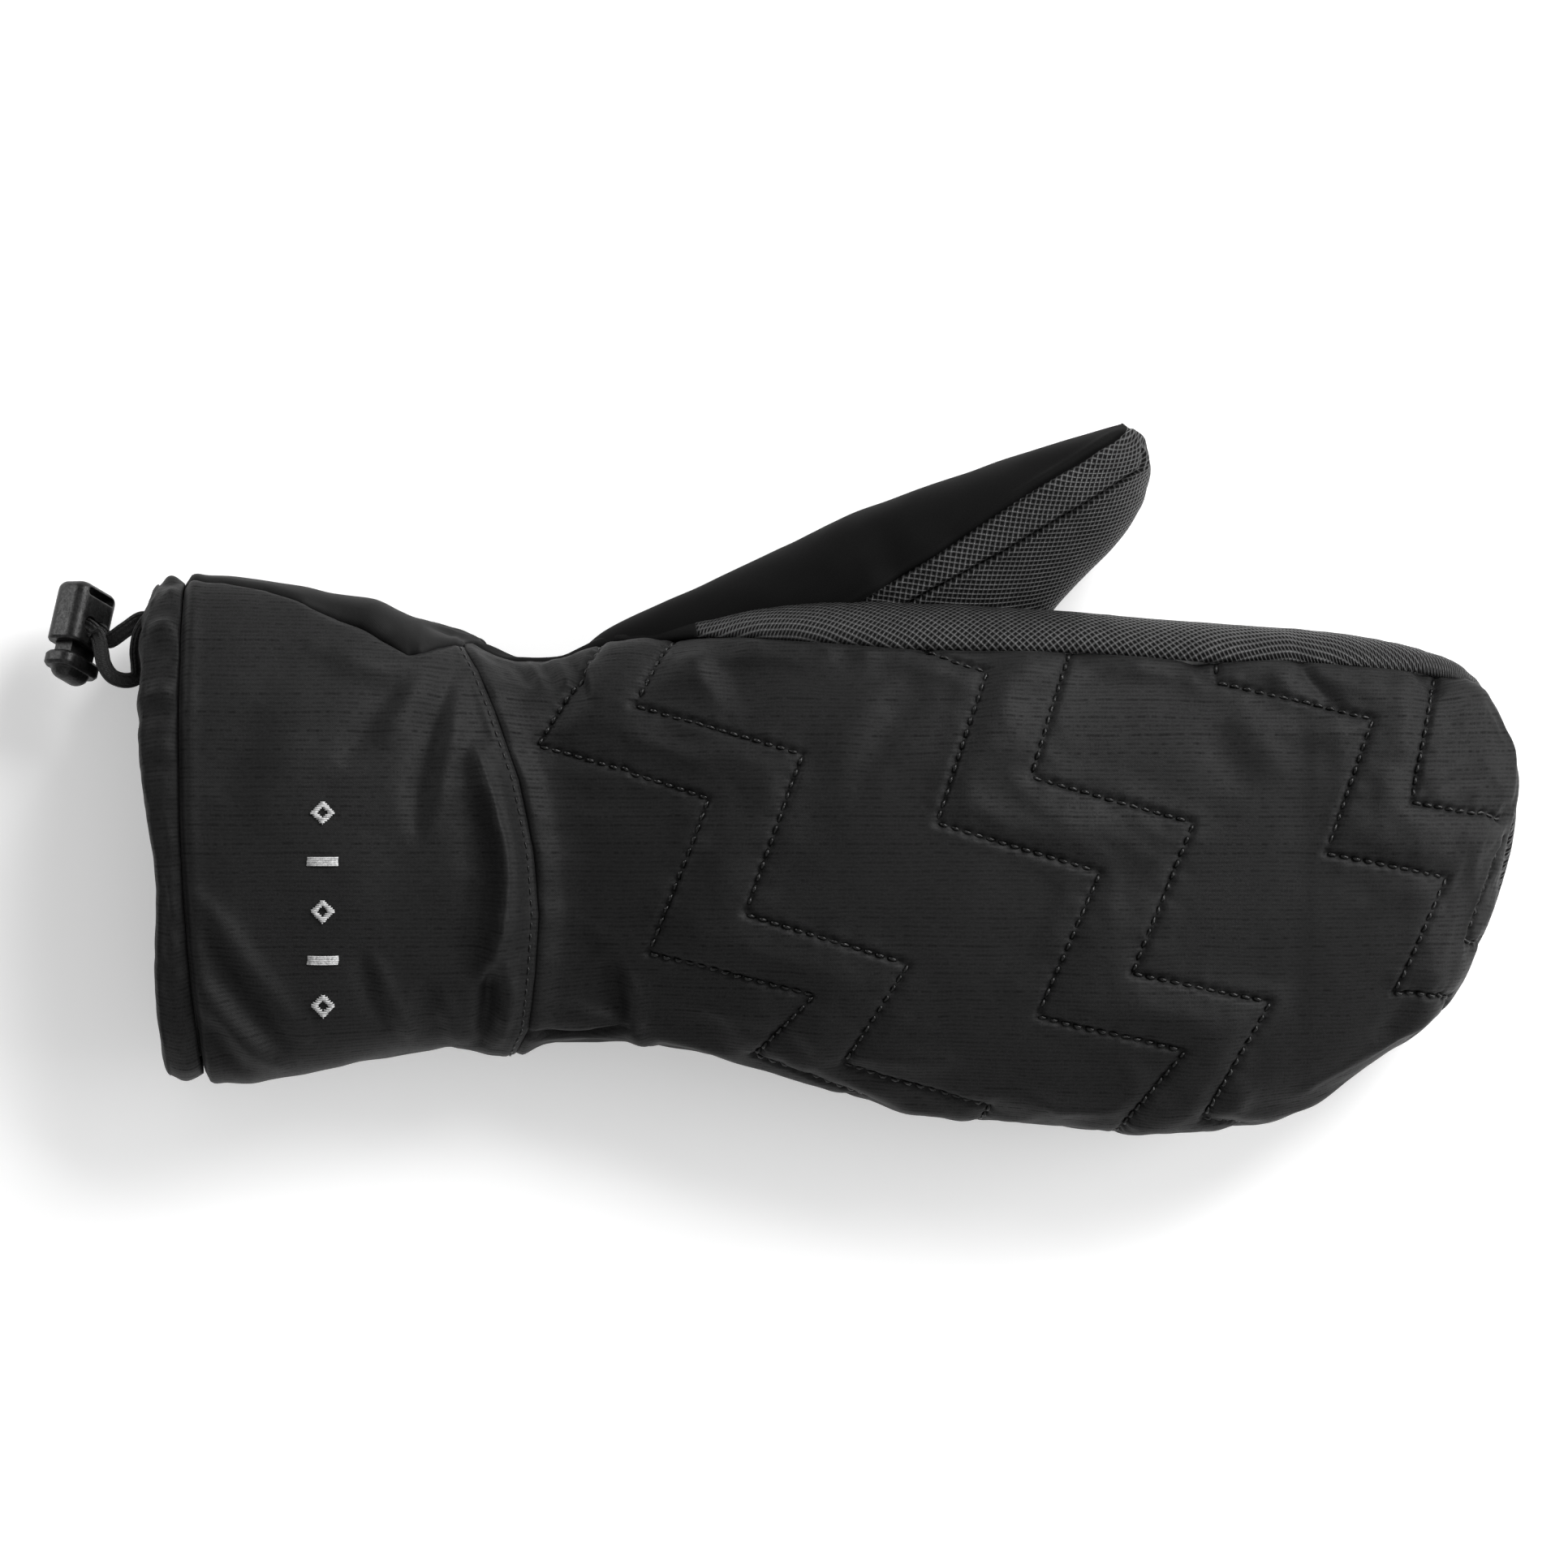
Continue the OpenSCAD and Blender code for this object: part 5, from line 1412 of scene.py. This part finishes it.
cord_leg = flat_cord("drawcord_leg", [
    (in_lock(-7.6, -1.1, 0.3), LOCK_Z),
    (in_lock(-4, -1.9, 0.1), LOCK_Z),
    (in_lock(0, -2.0, 0), LOCK_Z),
    (in_lock(4.4, -2.0, 0), LOCK_Z),
    ((-212.6, 55.2, 21.8), (-0.48, 0.78, 0.3)),
    ((-208.4, 57.8, 23.4), (-0.5, 0.8, 0.25)),
    ((-204.6, 60.3, 23.8), (-0.5, 0.75, 0.35)),
    (LEG_END, (-0.4, 0.5, 0.7))], width=3.9)
cord_loop = flat_cord("drawcord_loop", [
    (in_lock(-7.6, 1.1, 0.3), LOCK_Z),
    (in_lock(-4, 1.9, 0.1), LOCK_Z),
    (in_lock(0, 2.0, 0), LOCK_Z),
    (in_lock(3.4, 2.0, 0), LOCK_Z),
    ((-214.9, 56.4, 24.8), (0.6, -0.45, 0.45)),
    ((-213.9, 52.6, 26.4), (0.9, -0.1, 0.3)),
    ((-213.2, 49.6, 27.2), (0.88, 0.2, 0.3)),
    ((-211.3, 46.9, 27.8), (0.6, 0.7, 0.3)),
    ((-208.2, 45.9, 27.8), (0.0, 0.95, 0.3)),
    ((-205.6, 46.7, 27.0), (-0.75, 0.5, 0.4)),
    ((-205.3, 49.4, 26.2), (-0.92, 0.0, 0.35)),
    ((-205.5, 53.0, 27.0), (-0.92, 0.1, 0.35)),
    ((-204.7, 57.0, 29.0), (-0.85, 0.3, 0.4)),
    ((-202.8, 60.4, 30.8), (-0.7, 0.4, 0.6)),
    (LOOP_END, (-0.6, 0.5, 0.6))], width=3.7)

# ---------------------------------------------------------------- shader graphs
SOCKETS = {
    "colour": "Base Color", "roughness": "Roughness", "specular": "Specular IOR Level",
    "sheen": "Sheen Weight", "sheen_roughness": "Sheen Roughness", "metallic": "Metallic",
    "normal": "Normal", "glow_colour": "Emission Color", "glow": "Emission Strength"}
NEUTRAL = (1.0, 1.0, 1.0)
BLUISH = (1.0, 1.0, 1.01)


class Graph:
    """A material with a Principled shader, and short-hand for building its nodes."""

    def __init__(self, name):
        self.material = bpy.data.materials.new(name)
        self.material.use_nodes = True
        self.tree = self.material.node_tree
        self.tree.nodes.clear()
        output = self.node("ShaderNodeOutputMaterial")
        self.bsdf = self.node("ShaderNodeBsdfPrincipled")
        self.tree.links.new(self.bsdf.outputs[0], output.inputs[0])

    def node(self, kind, **properties):
        node = self.tree.nodes.new(kind)
        for key, value in properties.items():
            setattr(node, key, value)
        return node

    def put(self, socket, value):
        if isinstance(value, (int, float, tuple)):
            socket.default_value = value
        else:
            self.tree.links.new(value, socket)

    def shade(self, **looks):
        """Sets inputs of the Principled shader by the keys of SOCKETS."""
        for key, value in looks.items():
            self.put(self.bsdf.inputs[SOCKETS[key]], value)
        return self.material

    def math(self, operation, a, b=0.0):
        node = self.node("ShaderNodeMath", operation=operation)
        for socket, value in zip(node.inputs, (a, b, 0.0)):
            self.put(socket, value)
        return node.outputs[0]

    def mul(self, first, *others):
        for other in others:
            first = self.math("MULTIPLY", first, other)
        return first

    def add(self, first, *others):
        for other in others:
            first = self.math("ADD", first, other)
        return first

    def sub(self, a, b):
        return self.math("SUBTRACT", a, b)

    def div(self, a, b):
        return self.math("DIVIDE", a, b)

    def remap(self, x, span, to=(0.0, 1.0), kind="LINEAR"):
        node = self.node("ShaderNodeMapRange", interpolation_type=kind)
        self.put(node.inputs[0], x)
        for socket, value in zip(node.inputs[1:5], (*span, *to)):
            socket.default_value = value
        return node.outputs[0]

    def step(self, x, span, to=(0.0, 1.0)):
        return self.remap(x, span, to, "SMOOTHSTEP")

    def vary(self, texture, low, high):
        """Spreads the usual range of a noise texture over low..high."""
        return self.remap(texture, span=(0.3, 0.7), to=(low, high))

    def noise(self, vector, scale, detail=2.0, rough=0.5):
        node = self.node("ShaderNodeTexNoise", noise_dimensions="3D")
        self.put(node.inputs["Vector"], vector)
        node.inputs["Scale"].default_value = scale
        node.inputs["Detail"].default_value = detail
        node.inputs["Roughness"].default_value = rough
        return node.outputs[0]

    def cloth_noise(self, u, v, freq, detail=2.0, scale=1.0):
        """Noise on the cloth's pattern, with its own frequency per mm in each direction."""
        node = self.node("ShaderNodeCombineXYZ")
        self.put(node.inputs[0], self.mul(u, freq[0]))
        self.put(node.inputs[1], self.mul(v, freq[1]))
        self.put(node.inputs[2], 0.0)
        return self.noise(node.outputs[0], scale, detail)

    def random(self, x):
        node = self.node("ShaderNodeTexWhiteNoise", noise_dimensions="1D")
        self.put(node.inputs["W"], x)
        return node.outputs[0]

    def uv(self):
        """Pattern coordinates in mm, along and across."""
        node = self.node("ShaderNodeUVMap", uv_map="cloth")
        split = self.node("ShaderNodeSeparateXYZ")
        self.put(split.inputs[0], node.outputs[0])
        return self.mul(split.outputs[0], 100.0), self.mul(split.outputs[1], 100.0)

    def object_coords(self):
        return self.node("ShaderNodeTexCoord").outputs["Object"]

    def grey(self, value, tint=NEUTRAL):
        node = self.node("ShaderNodeCombineColor")
        for k in range(3):
            self.put(node.inputs[k], self.mul(value, tint[k]))
        return node.outputs[0]

    def bump(self, height, strength, distance=0.0001, normal=None):
        node = self.node("ShaderNodeBump")
        node.inputs["Strength"].default_value = strength
        node.inputs["Distance"].default_value = distance
        self.put(node.inputs["Height"], height)
        if normal is not None:
            self.put(node.inputs["Normal"], normal)
        return node.outputs[0]

    def wave(self, x, period):
        return self.math("SINE", self.mul(x, 2 * PI / period))

    def weave(self, u, v, pitch=0.5):
        return self.mul(self.wave(u, pitch), self.wave(v, pitch))

    def from_middle(self, x):
        """Distance of x from the middle of its unit cell."""
        return self.math("ABSOLUTE", self.sub(self.math("FRACT", x), 0.5))

    def lines(self, x, period, half, soft):
        """1 on lines every period of x, 0 between; half is their half width."""
        distance = self.mul(self.from_middle(self.div(x, period)), period)
        return self.step(distance, span=(half, half + soft), to=(1.0, 0.0))


# ---------------------------------------------------------------- materials
def ripstop():
    g = Graph("ripstop_nylon")
    pitch = 2.2             # spacing of the ripstop threads, mm
    u, v = g.uv()
    waver = g.mul(g.sub(g.cloth_noise(u, v, freq=(0.02, 0.02), scale=3.0), 0.5), 0.9)
    v = (v, g.add(v, waver))
    straight, wavy = v
    row = g.math("FLOOR", g.div(wavy, pitch))
    dash = g.cloth_noise(u, row, freq=(0.45, 7.3), detail=3.0)
    fine_dash = g.cloth_noise(u, row, freq=(2.3, 3.1), detail=1.0)
    strength = g.mul(g.step(dash, span=(0.36, 0.60), to=(0.12, 1.0)),
                     g.remap(g.random(row), span=(0, 1), to=(0.6, 1.0)),
                     g.vary(fine_dash, 0.55, 1.2))
    main = g.mul(g.lines(wavy, pitch, half=0.12, soft=0.34), strength)
    between = g.mul(g.lines(g.add(wavy, 1.05), pitch, half=0.06, soft=0.30),
                    g.step(fine_dash, span=(0.34, 0.62), to=(0.1, 0.55)))
    # short broken cross threads
    cross = g.step(g.cloth_noise(u, wavy, freq=(1.9, 0.32), detail=1.5),
                   span=(0.58, 0.74), to=(0.0, 0.34))
    threads = g.math("MAXIMUM", g.math("MAXIMUM", main, between), cross)
    # the plain weave between the lines, with slubs
    weave = g.weave(u, wavy)
    cloud = g.cloth_noise(u, straight, freq=(0.05, 0.05), detail=3.0)
    slub = g.cloth_noise(u, straight, freq=(0.45, 3.4), detail=2.0)
    fleck = g.cloth_noise(u, straight, freq=(2.4, 2.4), detail=2.5)
    value = g.mul(g.vary(cloud, 0.92, 1.08), g.vary(fleck, 0.64, 1.36),
                  g.vary(slub, 0.82, 1.18), g.sub(1.0, g.mul(threads, 0.42)),
                  g.remap(weave, span=(-1, 1), to=(0.78, 1.22)))
    height = g.add(g.mul(weave, 0.22), g.mul(threads, -0.6), g.mul(fleck, 0.8))
    return g.shade(colour=g.grey(g.mul(value, 0.0096), BLUISH),
                   roughness=g.add(0.56, g.mul(threads, 0.15)),
                   specular=g.sub(0.15, g.mul(threads, 0.06)),
                   sheen=0.03, sheen_roughness=0.4,
                   normal=g.bump(height, strength=0.35, distance=0.00012))


def side_fabric():
    g = Graph("plain_side_fabric")
    u, v = g.uv()
    weave = g.weave(u, v)
    fleck = g.cloth_noise(u, v, freq=(1.5, 1.5), detail=3.0)
    cloud = g.cloth_noise(u, v, freq=(0.06, 0.06), detail=3.0)
    value = g.mul(g.vary(fleck, 0.85, 1.15), g.vary(cloud, 0.85, 1.15),
                  g.remap(weave, span=(-1, 1), to=(0.9, 1.1)))
    return g.shade(colour=g.grey(g.mul(value, 0.0066)), roughness=0.6, specular=0.11,
                   sheen=0.015, sheen_roughness=0.5,
                   normal=g.bump(g.add(g.mul(weave, 0.3), fleck), strength=0.3))


def grip_fabric():
    """Two sets of raised ribs cross in a diamond mesh, with a pit in every cell."""
    g = Graph("grip_fabric")
    pitch = 1.8
    u, v = g.uv()
    waver = g.mul(g.sub(g.cloth_noise(u, v, freq=(0.1, 0.1)), 0.5), 0.5)
    rising = g.div(g.add(u, v, waver), pitch)
    falling = g.div(g.sub(u, v), pitch)
    rib1, rib2 = (g.step(g.mul(g.from_middle(x), 2.0), span=(0.34, 0.92))
                  for x in (rising, falling))
    rib = g.math("MAXIMUM", rib1, rib2)
    cross = g.mul(rib1, rib2)
    # a number for each cell, to vary its shade
    cell = g.add(g.mul(g.math("ROUND", rising), 12.989), g.mul(g.math("ROUND", falling), 78.233))
    cloud = g.cloth_noise(u, v, freq=(0.05, 0.05), detail=3.0)
    variation = g.mul(g.remap(g.random(cell), span=(0, 1), to=(0.78, 1.22)),
                      g.vary(cloud, 0.88, 1.12))
    # ribs lighter than the pits: partly the cloth's own tone, partly painted shade in the pits; a painted glint is
    # added where the ribs cross
    value = g.add(g.remap(rib, span=(0, 1), to=(0.0026, 0.028)), g.mul(cross, 0.026))
    return g.shade(colour=g.grey(g.mul(value, variation), BLUISH),
                   roughness=g.remap(rib, span=(0, 1), to=(0.8, 0.40)),
                   specular=g.remap(rib, span=(0, 1), to=(0.08, 0.42)),
                   normal=g.bump(g.add(rib, g.mul(cross, 0.35)), strength=0.85,
                                 distance=0.0004))


def softshell():
    g = Graph("softshell")
    u, v = g.uv()
    fleck = g.cloth_noise(u, v, freq=(2.6, 2.6), detail=3.0)
    cloud = g.cloth_noise(u, v, freq=(0.05, 0.08), detail=3.0)
    rib = g.wave(v, 0.5)
    value = g.mul(g.vary(fleck, 0.8, 1.2), g.vary(cloud, 0.85, 1.15))
    return g.shade(colour=g.grey(g.mul(value, 0.0038)), roughness=0.8, specular=0.06,
                   sheen=0.012, sheen_roughness=0.5,
                   normal=g.bump(g.add(fleck, g.mul(rib, 0.15)), strength=0.25))


def fibre(name, base, roughness, scale, bump, specular, tint=NEUTRAL, sheen=0.0, metallic=0.0):
    """A grey material with fine and coarse mottling."""
    g = Graph(name)
    where = g.object_coords()
    fine = g.noise(where, scale, detail=3.0, rough=0.6)
    coarse = g.noise(where, scale * 0.06, detail=2.0)
    value = g.mul(g.vary(fine, 0.8, 1.2), g.vary(coarse, 0.88, 1.12), base)
    return g.shade(colour=g.grey(value, tint),
                   roughness=g.vary(coarse, roughness * 0.92, min(1.0, roughness * 1.08)),
                   specular=specular, sheen=sheen, metallic=metallic,
                   normal=g.bump(fine, strength=bump))


def elastic():
    g = Graph("ribbed_elastic")
    pitch = 0.62            # spacing of the knit, mm
    u, v = g.uv()
    slanted = g.math("SINE", g.add(g.mul(u, PI / pitch), g.mul(v, 6.0)))
    knit = g.mul(g.wave(u, pitch), slanted)
    fleck = g.cloth_noise(u, v, freq=(2.0, 2.0), detail=2.0)
    value = g.mul(g.remap(knit, span=(-1, 1), to=(0.88, 1.12)), g.vary(fleck, 0.85, 1.15))
    return g.shade(colour=g.grey(g.mul(value, 0.0065)), roughness=0.5, specular=0.35,
                   sheen=0.08, normal=g.bump(knit, strength=0.5, distance=0.00015))


def thread(name, base, roughness, specular):
    g = Graph(name)
    where = g.object_coords()
    fine = g.noise(where, scale=1900.0)
    coarse = g.noise(where, scale=500.0)
    return g.shade(colour=g.grey(g.mul(g.vary(fine, 0.6, 1.4), base)),
                   roughness=g.vary(coarse, roughness * 0.8, roughness * 1.2),
                   specular=specular, normal=g.bump(fine, strength=0.5))


def moulded_plastic():
    g = Graph("moulded_acetal")
    where = g.object_coords()
    fine = g.noise(where, scale=2300.0, detail=3.0, rough=0.6)
    coarse = g.noise(where, scale=420.0, detail=4.0, rough=0.65)
    blotch = g.noise(where, scale=1700.0, detail=3.0, rough=0.7)
    rounded = g.node("ShaderNodeBevel", samples=8)
    rounded.inputs["Radius"].default_value = 0.0006
    # painted highlight along the edges, in patches: the colour is a little lighter there, and the edges are
    # smoother and glossier
    edges = g.node("ShaderNodeBevel", samples=6)
    edges.inputs["Radius"].default_value = 0.0009
    dot = g.node("ShaderNodeVectorMath", operation="DOT_PRODUCT")
    g.put(dot.inputs[0], edges.outputs[0])
    g.put(dot.inputs[1], g.node("ShaderNodeNewGeometry").outputs["Normal"])
    edge_highlight = g.mul(g.step(dot.outputs["Value"], span=(0.86, 0.99), to=(1.0, 0.0)),
                 g.step(coarse, span=(0.40, 0.62)))
    value = g.mul(g.vary(coarse, 0.0030, 0.0075), g.vary(fine, 0.8, 1.2))
    # the edge mask lightens the colour here as a painted highlight
    return g.shade(colour=g.grey(g.add(value, g.mul(edge_highlight, 0.012))),
                   roughness=g.sub(g.vary(coarse, 0.30, 0.48), g.mul(edge_highlight, 0.08)),
                   specular=g.add(g.mul(edge_highlight, 0.22),
                                  g.remap(blotch, span=(0.35, 0.65), to=(0.20, 0.44))),
                   normal=g.bump(g.add(fine, g.mul(coarse, 2.0)), strength=0.38,
                                 normal=rounded.outputs[0]))


MATERIALS = {
    "ripstop": ripstop(),
    "grip_fabric": grip_fabric(),
    "softshell": softshell(),
    "side_fabric": side_fabric(),
    "lining": fibre("fleece_lining", base=0.018, roughness=0.95, scale=500.0, bump=0.8,
                    specular=0.1, sheen=0.25),
    "wadding": fibre("polyester_wadding", base=0.78, roughness=0.95, scale=300.0, bump=0.9,
                     specular=0.1, sheen=0.2),
    "membrane": fibre("membrane_film", base=0.66, roughness=0.35, scale=120.0, bump=0.1,
                      specular=0.5, tint=(0.95, 0.98, 1.0)),
    "elastic": elastic(),
    "thread": thread("black_thread", base=0.0042, roughness=0.33, specular=0.32),
    "emblem_thread": thread("grey_satin_thread", base=0.46, roughness=0.42, specular=0.4),
    "lock_plastic": moulded_plastic(),
    "spring_steel": fibre("spring_wire", base=0.55, roughness=0.3, scale=900.0, bump=0.1,
                          specular=0.5, metallic=1.0),
}


# ---------------------------------------------------------------- dressing and motion
def wear(obj, slot):
    obj.data.materials.clear()
    obj.data.materials.append(MATERIALS[slot])


# two parts and the points between which a piece would pass from one to the other; no blend is applied below
FINGERS = ("hand", "fingers", dict(start=(-0.004, 0, 0.022), end=(0.032, 0, 0.022)))
WRIST = ("cuff", "hand", dict(start=(-0.166, 0, 0.022), end=(-0.132, 0, 0.022)))
THUMB_ROOT = ("hand", "thumb", dict(start=(0, 0.056, 0.016), end=(0, 0.078, 0.016)))

# object, material slot, part it follows or a listed blend (such a piece is left in place, unblended), CAD pieces
# it replaces
PIECES = [
    (back_panel, "ripstop", FINGERS, ("back_panel", "finger_back_panel")),
    (palm_panel, "grip_fabric", FINGERS, ("palm_panel", "finger_palm_panel")),
    (quilt_thread, "thread", FINGERS, ("hand_quilt_thread", "finger_quilt_thread")),
    (wadding_hand, "wadding", FINGERS, ("hand_insulation", "finger_insulation")),
    (membrane_hand, "membrane", FINGERS, ("hand_membrane", "finger_membrane")),
    (lining_hand, "lining", FINGERS, ("hand_lining", "finger_lining")),
    (thumb_soft, "softshell", THUMB_ROOT, ("thumb_back_panel",)),
    (hand_web, "softshell", "hand", ("thumb_web",)),
    (thumb_palm, "grip_fabric", THUMB_ROOT, ("thumb_palm_panel",)),
    (thumb_strip, "grip_fabric", THUMB_ROOT, ("thumb_side_strip",)),
    (thumb_thread, "thread", THUMB_ROOT, ()),
    (wadding_thumb, "wadding", THUMB_ROOT, ("thumb_insulation",)),
    (membrane_thumb, "membrane", THUMB_ROOT, ("thumb_membrane",)),
    (lining_thumb, "lining", THUMB_ROOT, ("thumb_lining",)),
    (cuff_back, "ripstop", WRIST, ("cuff_back_panel",)),
    (cuff_palm, "ripstop", WRIST, ("cuff_palm_panel",)),
    (cuff_gusset, "side_fabric", WRIST, ("cuff_side_gusset",)),
    (wadding_cuff, "wadding", WRIST, ("cuff_insulation",)),
    (lining_cuff, "lining", WRIST, ("cuff_lining",)),
    (wrist_elastic, "elastic", WRIST, ("wrist_elastic",)),
    (wrist_thread, "thread", WRIST, ()),
    (emblem, "emblem_thread", WRIST, ("emblem",)),
    (hem, "ripstop", "cuff", ("hem_tunnel",)),
]
for obj, slot, follows, replaced in PIECES:
    wear(obj, slot)
    if isinstance(follows, str):
        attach(obj, follows)
    else:
        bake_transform(obj)
    if replaced:
        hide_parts(*replaced)
for obj in (cord_leg, cord_loop):
    wear(obj, "elastic")
    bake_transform(obj)
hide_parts("drawcord")

for node, slot in (("cord_lock_body", "lock_plastic"), ("cord_lock_plunger", "lock_plastic"),
                   ("cord_lock_spring", "spring_steel")):
    wear(frame["nodes"][node], slot)


# ---------------------------------------------------------------- stage, lights, camera (metres)
def build_floor():
    mesh = bpy.data.meshes.new("floor")
    mesh.from_pydata([(-3, -3, 0), (3, -3, 0), (3, 3, 0), (-3, 3, 0)], [], [(0, 1, 2, 3)])
    floor = link_object("floor", mesh)
    # a lit table keeps the shadow under the mitten pale
    mesh.materials.append(Graph("studio_paper").shade(
        colour=(0.93, 0.93, 0.93, 1), roughness=0.9, specular=0.1,
        glow_colour=(1.0, 1.0, 1.0, 1.0), glow=0.28))
    return floor


def area_light(name, location, target, size, power):
    light = bpy.data.lights.new(name, "AREA")
    light.shape = "RECTANGLE"
    light.size = light.size_y = size
    light.energy = power
    obj = link_object(name, light)
    obj.location = location
    aim = Vector(target) - Vector(location)
    obj.rotation_euler = aim.to_track_quat("-Z", "Y").to_euler()
    return obj


FRAME_WIDTH = 0.36708           # what the camera sees across at the focus height
FOCUS_HEIGHT = 0.030


def build_camera():
    """Looks straight down from far off."""
    data = bpy.data.cameras.new("cam")
    data.lens = 450
    data.sensor_width = 36
    data.clip_end = 20
    camera = link_object("cam", data)
    distance = FRAME_WIDTH * data.lens / data.sensor_width
    camera.location = (-0.05396, 0.02166, FOCUS_HEIGHT + distance)
    bpy.context.scene.camera = camera


build_floor()
area_light("key", location=(0.78, 1.0, 1.0), target=(-0.04, 0.0, 0.02), size=0.8, power=27)
area_light("side", location=(1.35, 0.05, 0.52), target=(0.0, 0.0, 0.02), size=0.8, power=13)
area_light("fill", location=(-0.35, -1.2, 1.2), target=(-0.05, 0.0, 0.02), size=1.4, power=3)
# a gleam on the cord lock
glint = area_light("glint", location=(-1.15, 0.72, 0.30), target=(-0.218, 0.055, 0.02),
                   size=0.5, power=5)
glint.visible_diffuse = False

world = bpy.data.worlds.new("studio")
bpy.context.scene.world = world
world.use_nodes = True
background = world.node_tree.nodes["Background"]
background.inputs["Color"].default_value = (1, 1, 1, 1)
background.inputs["Strength"].default_value = 0.38

build_camera()
view = bpy.context.scene.view_settings
view.view_transform = "Standard"
view.look = "None"
view.exposure = 0.0
bpy.context.scene.cycles.max_bounces = 6
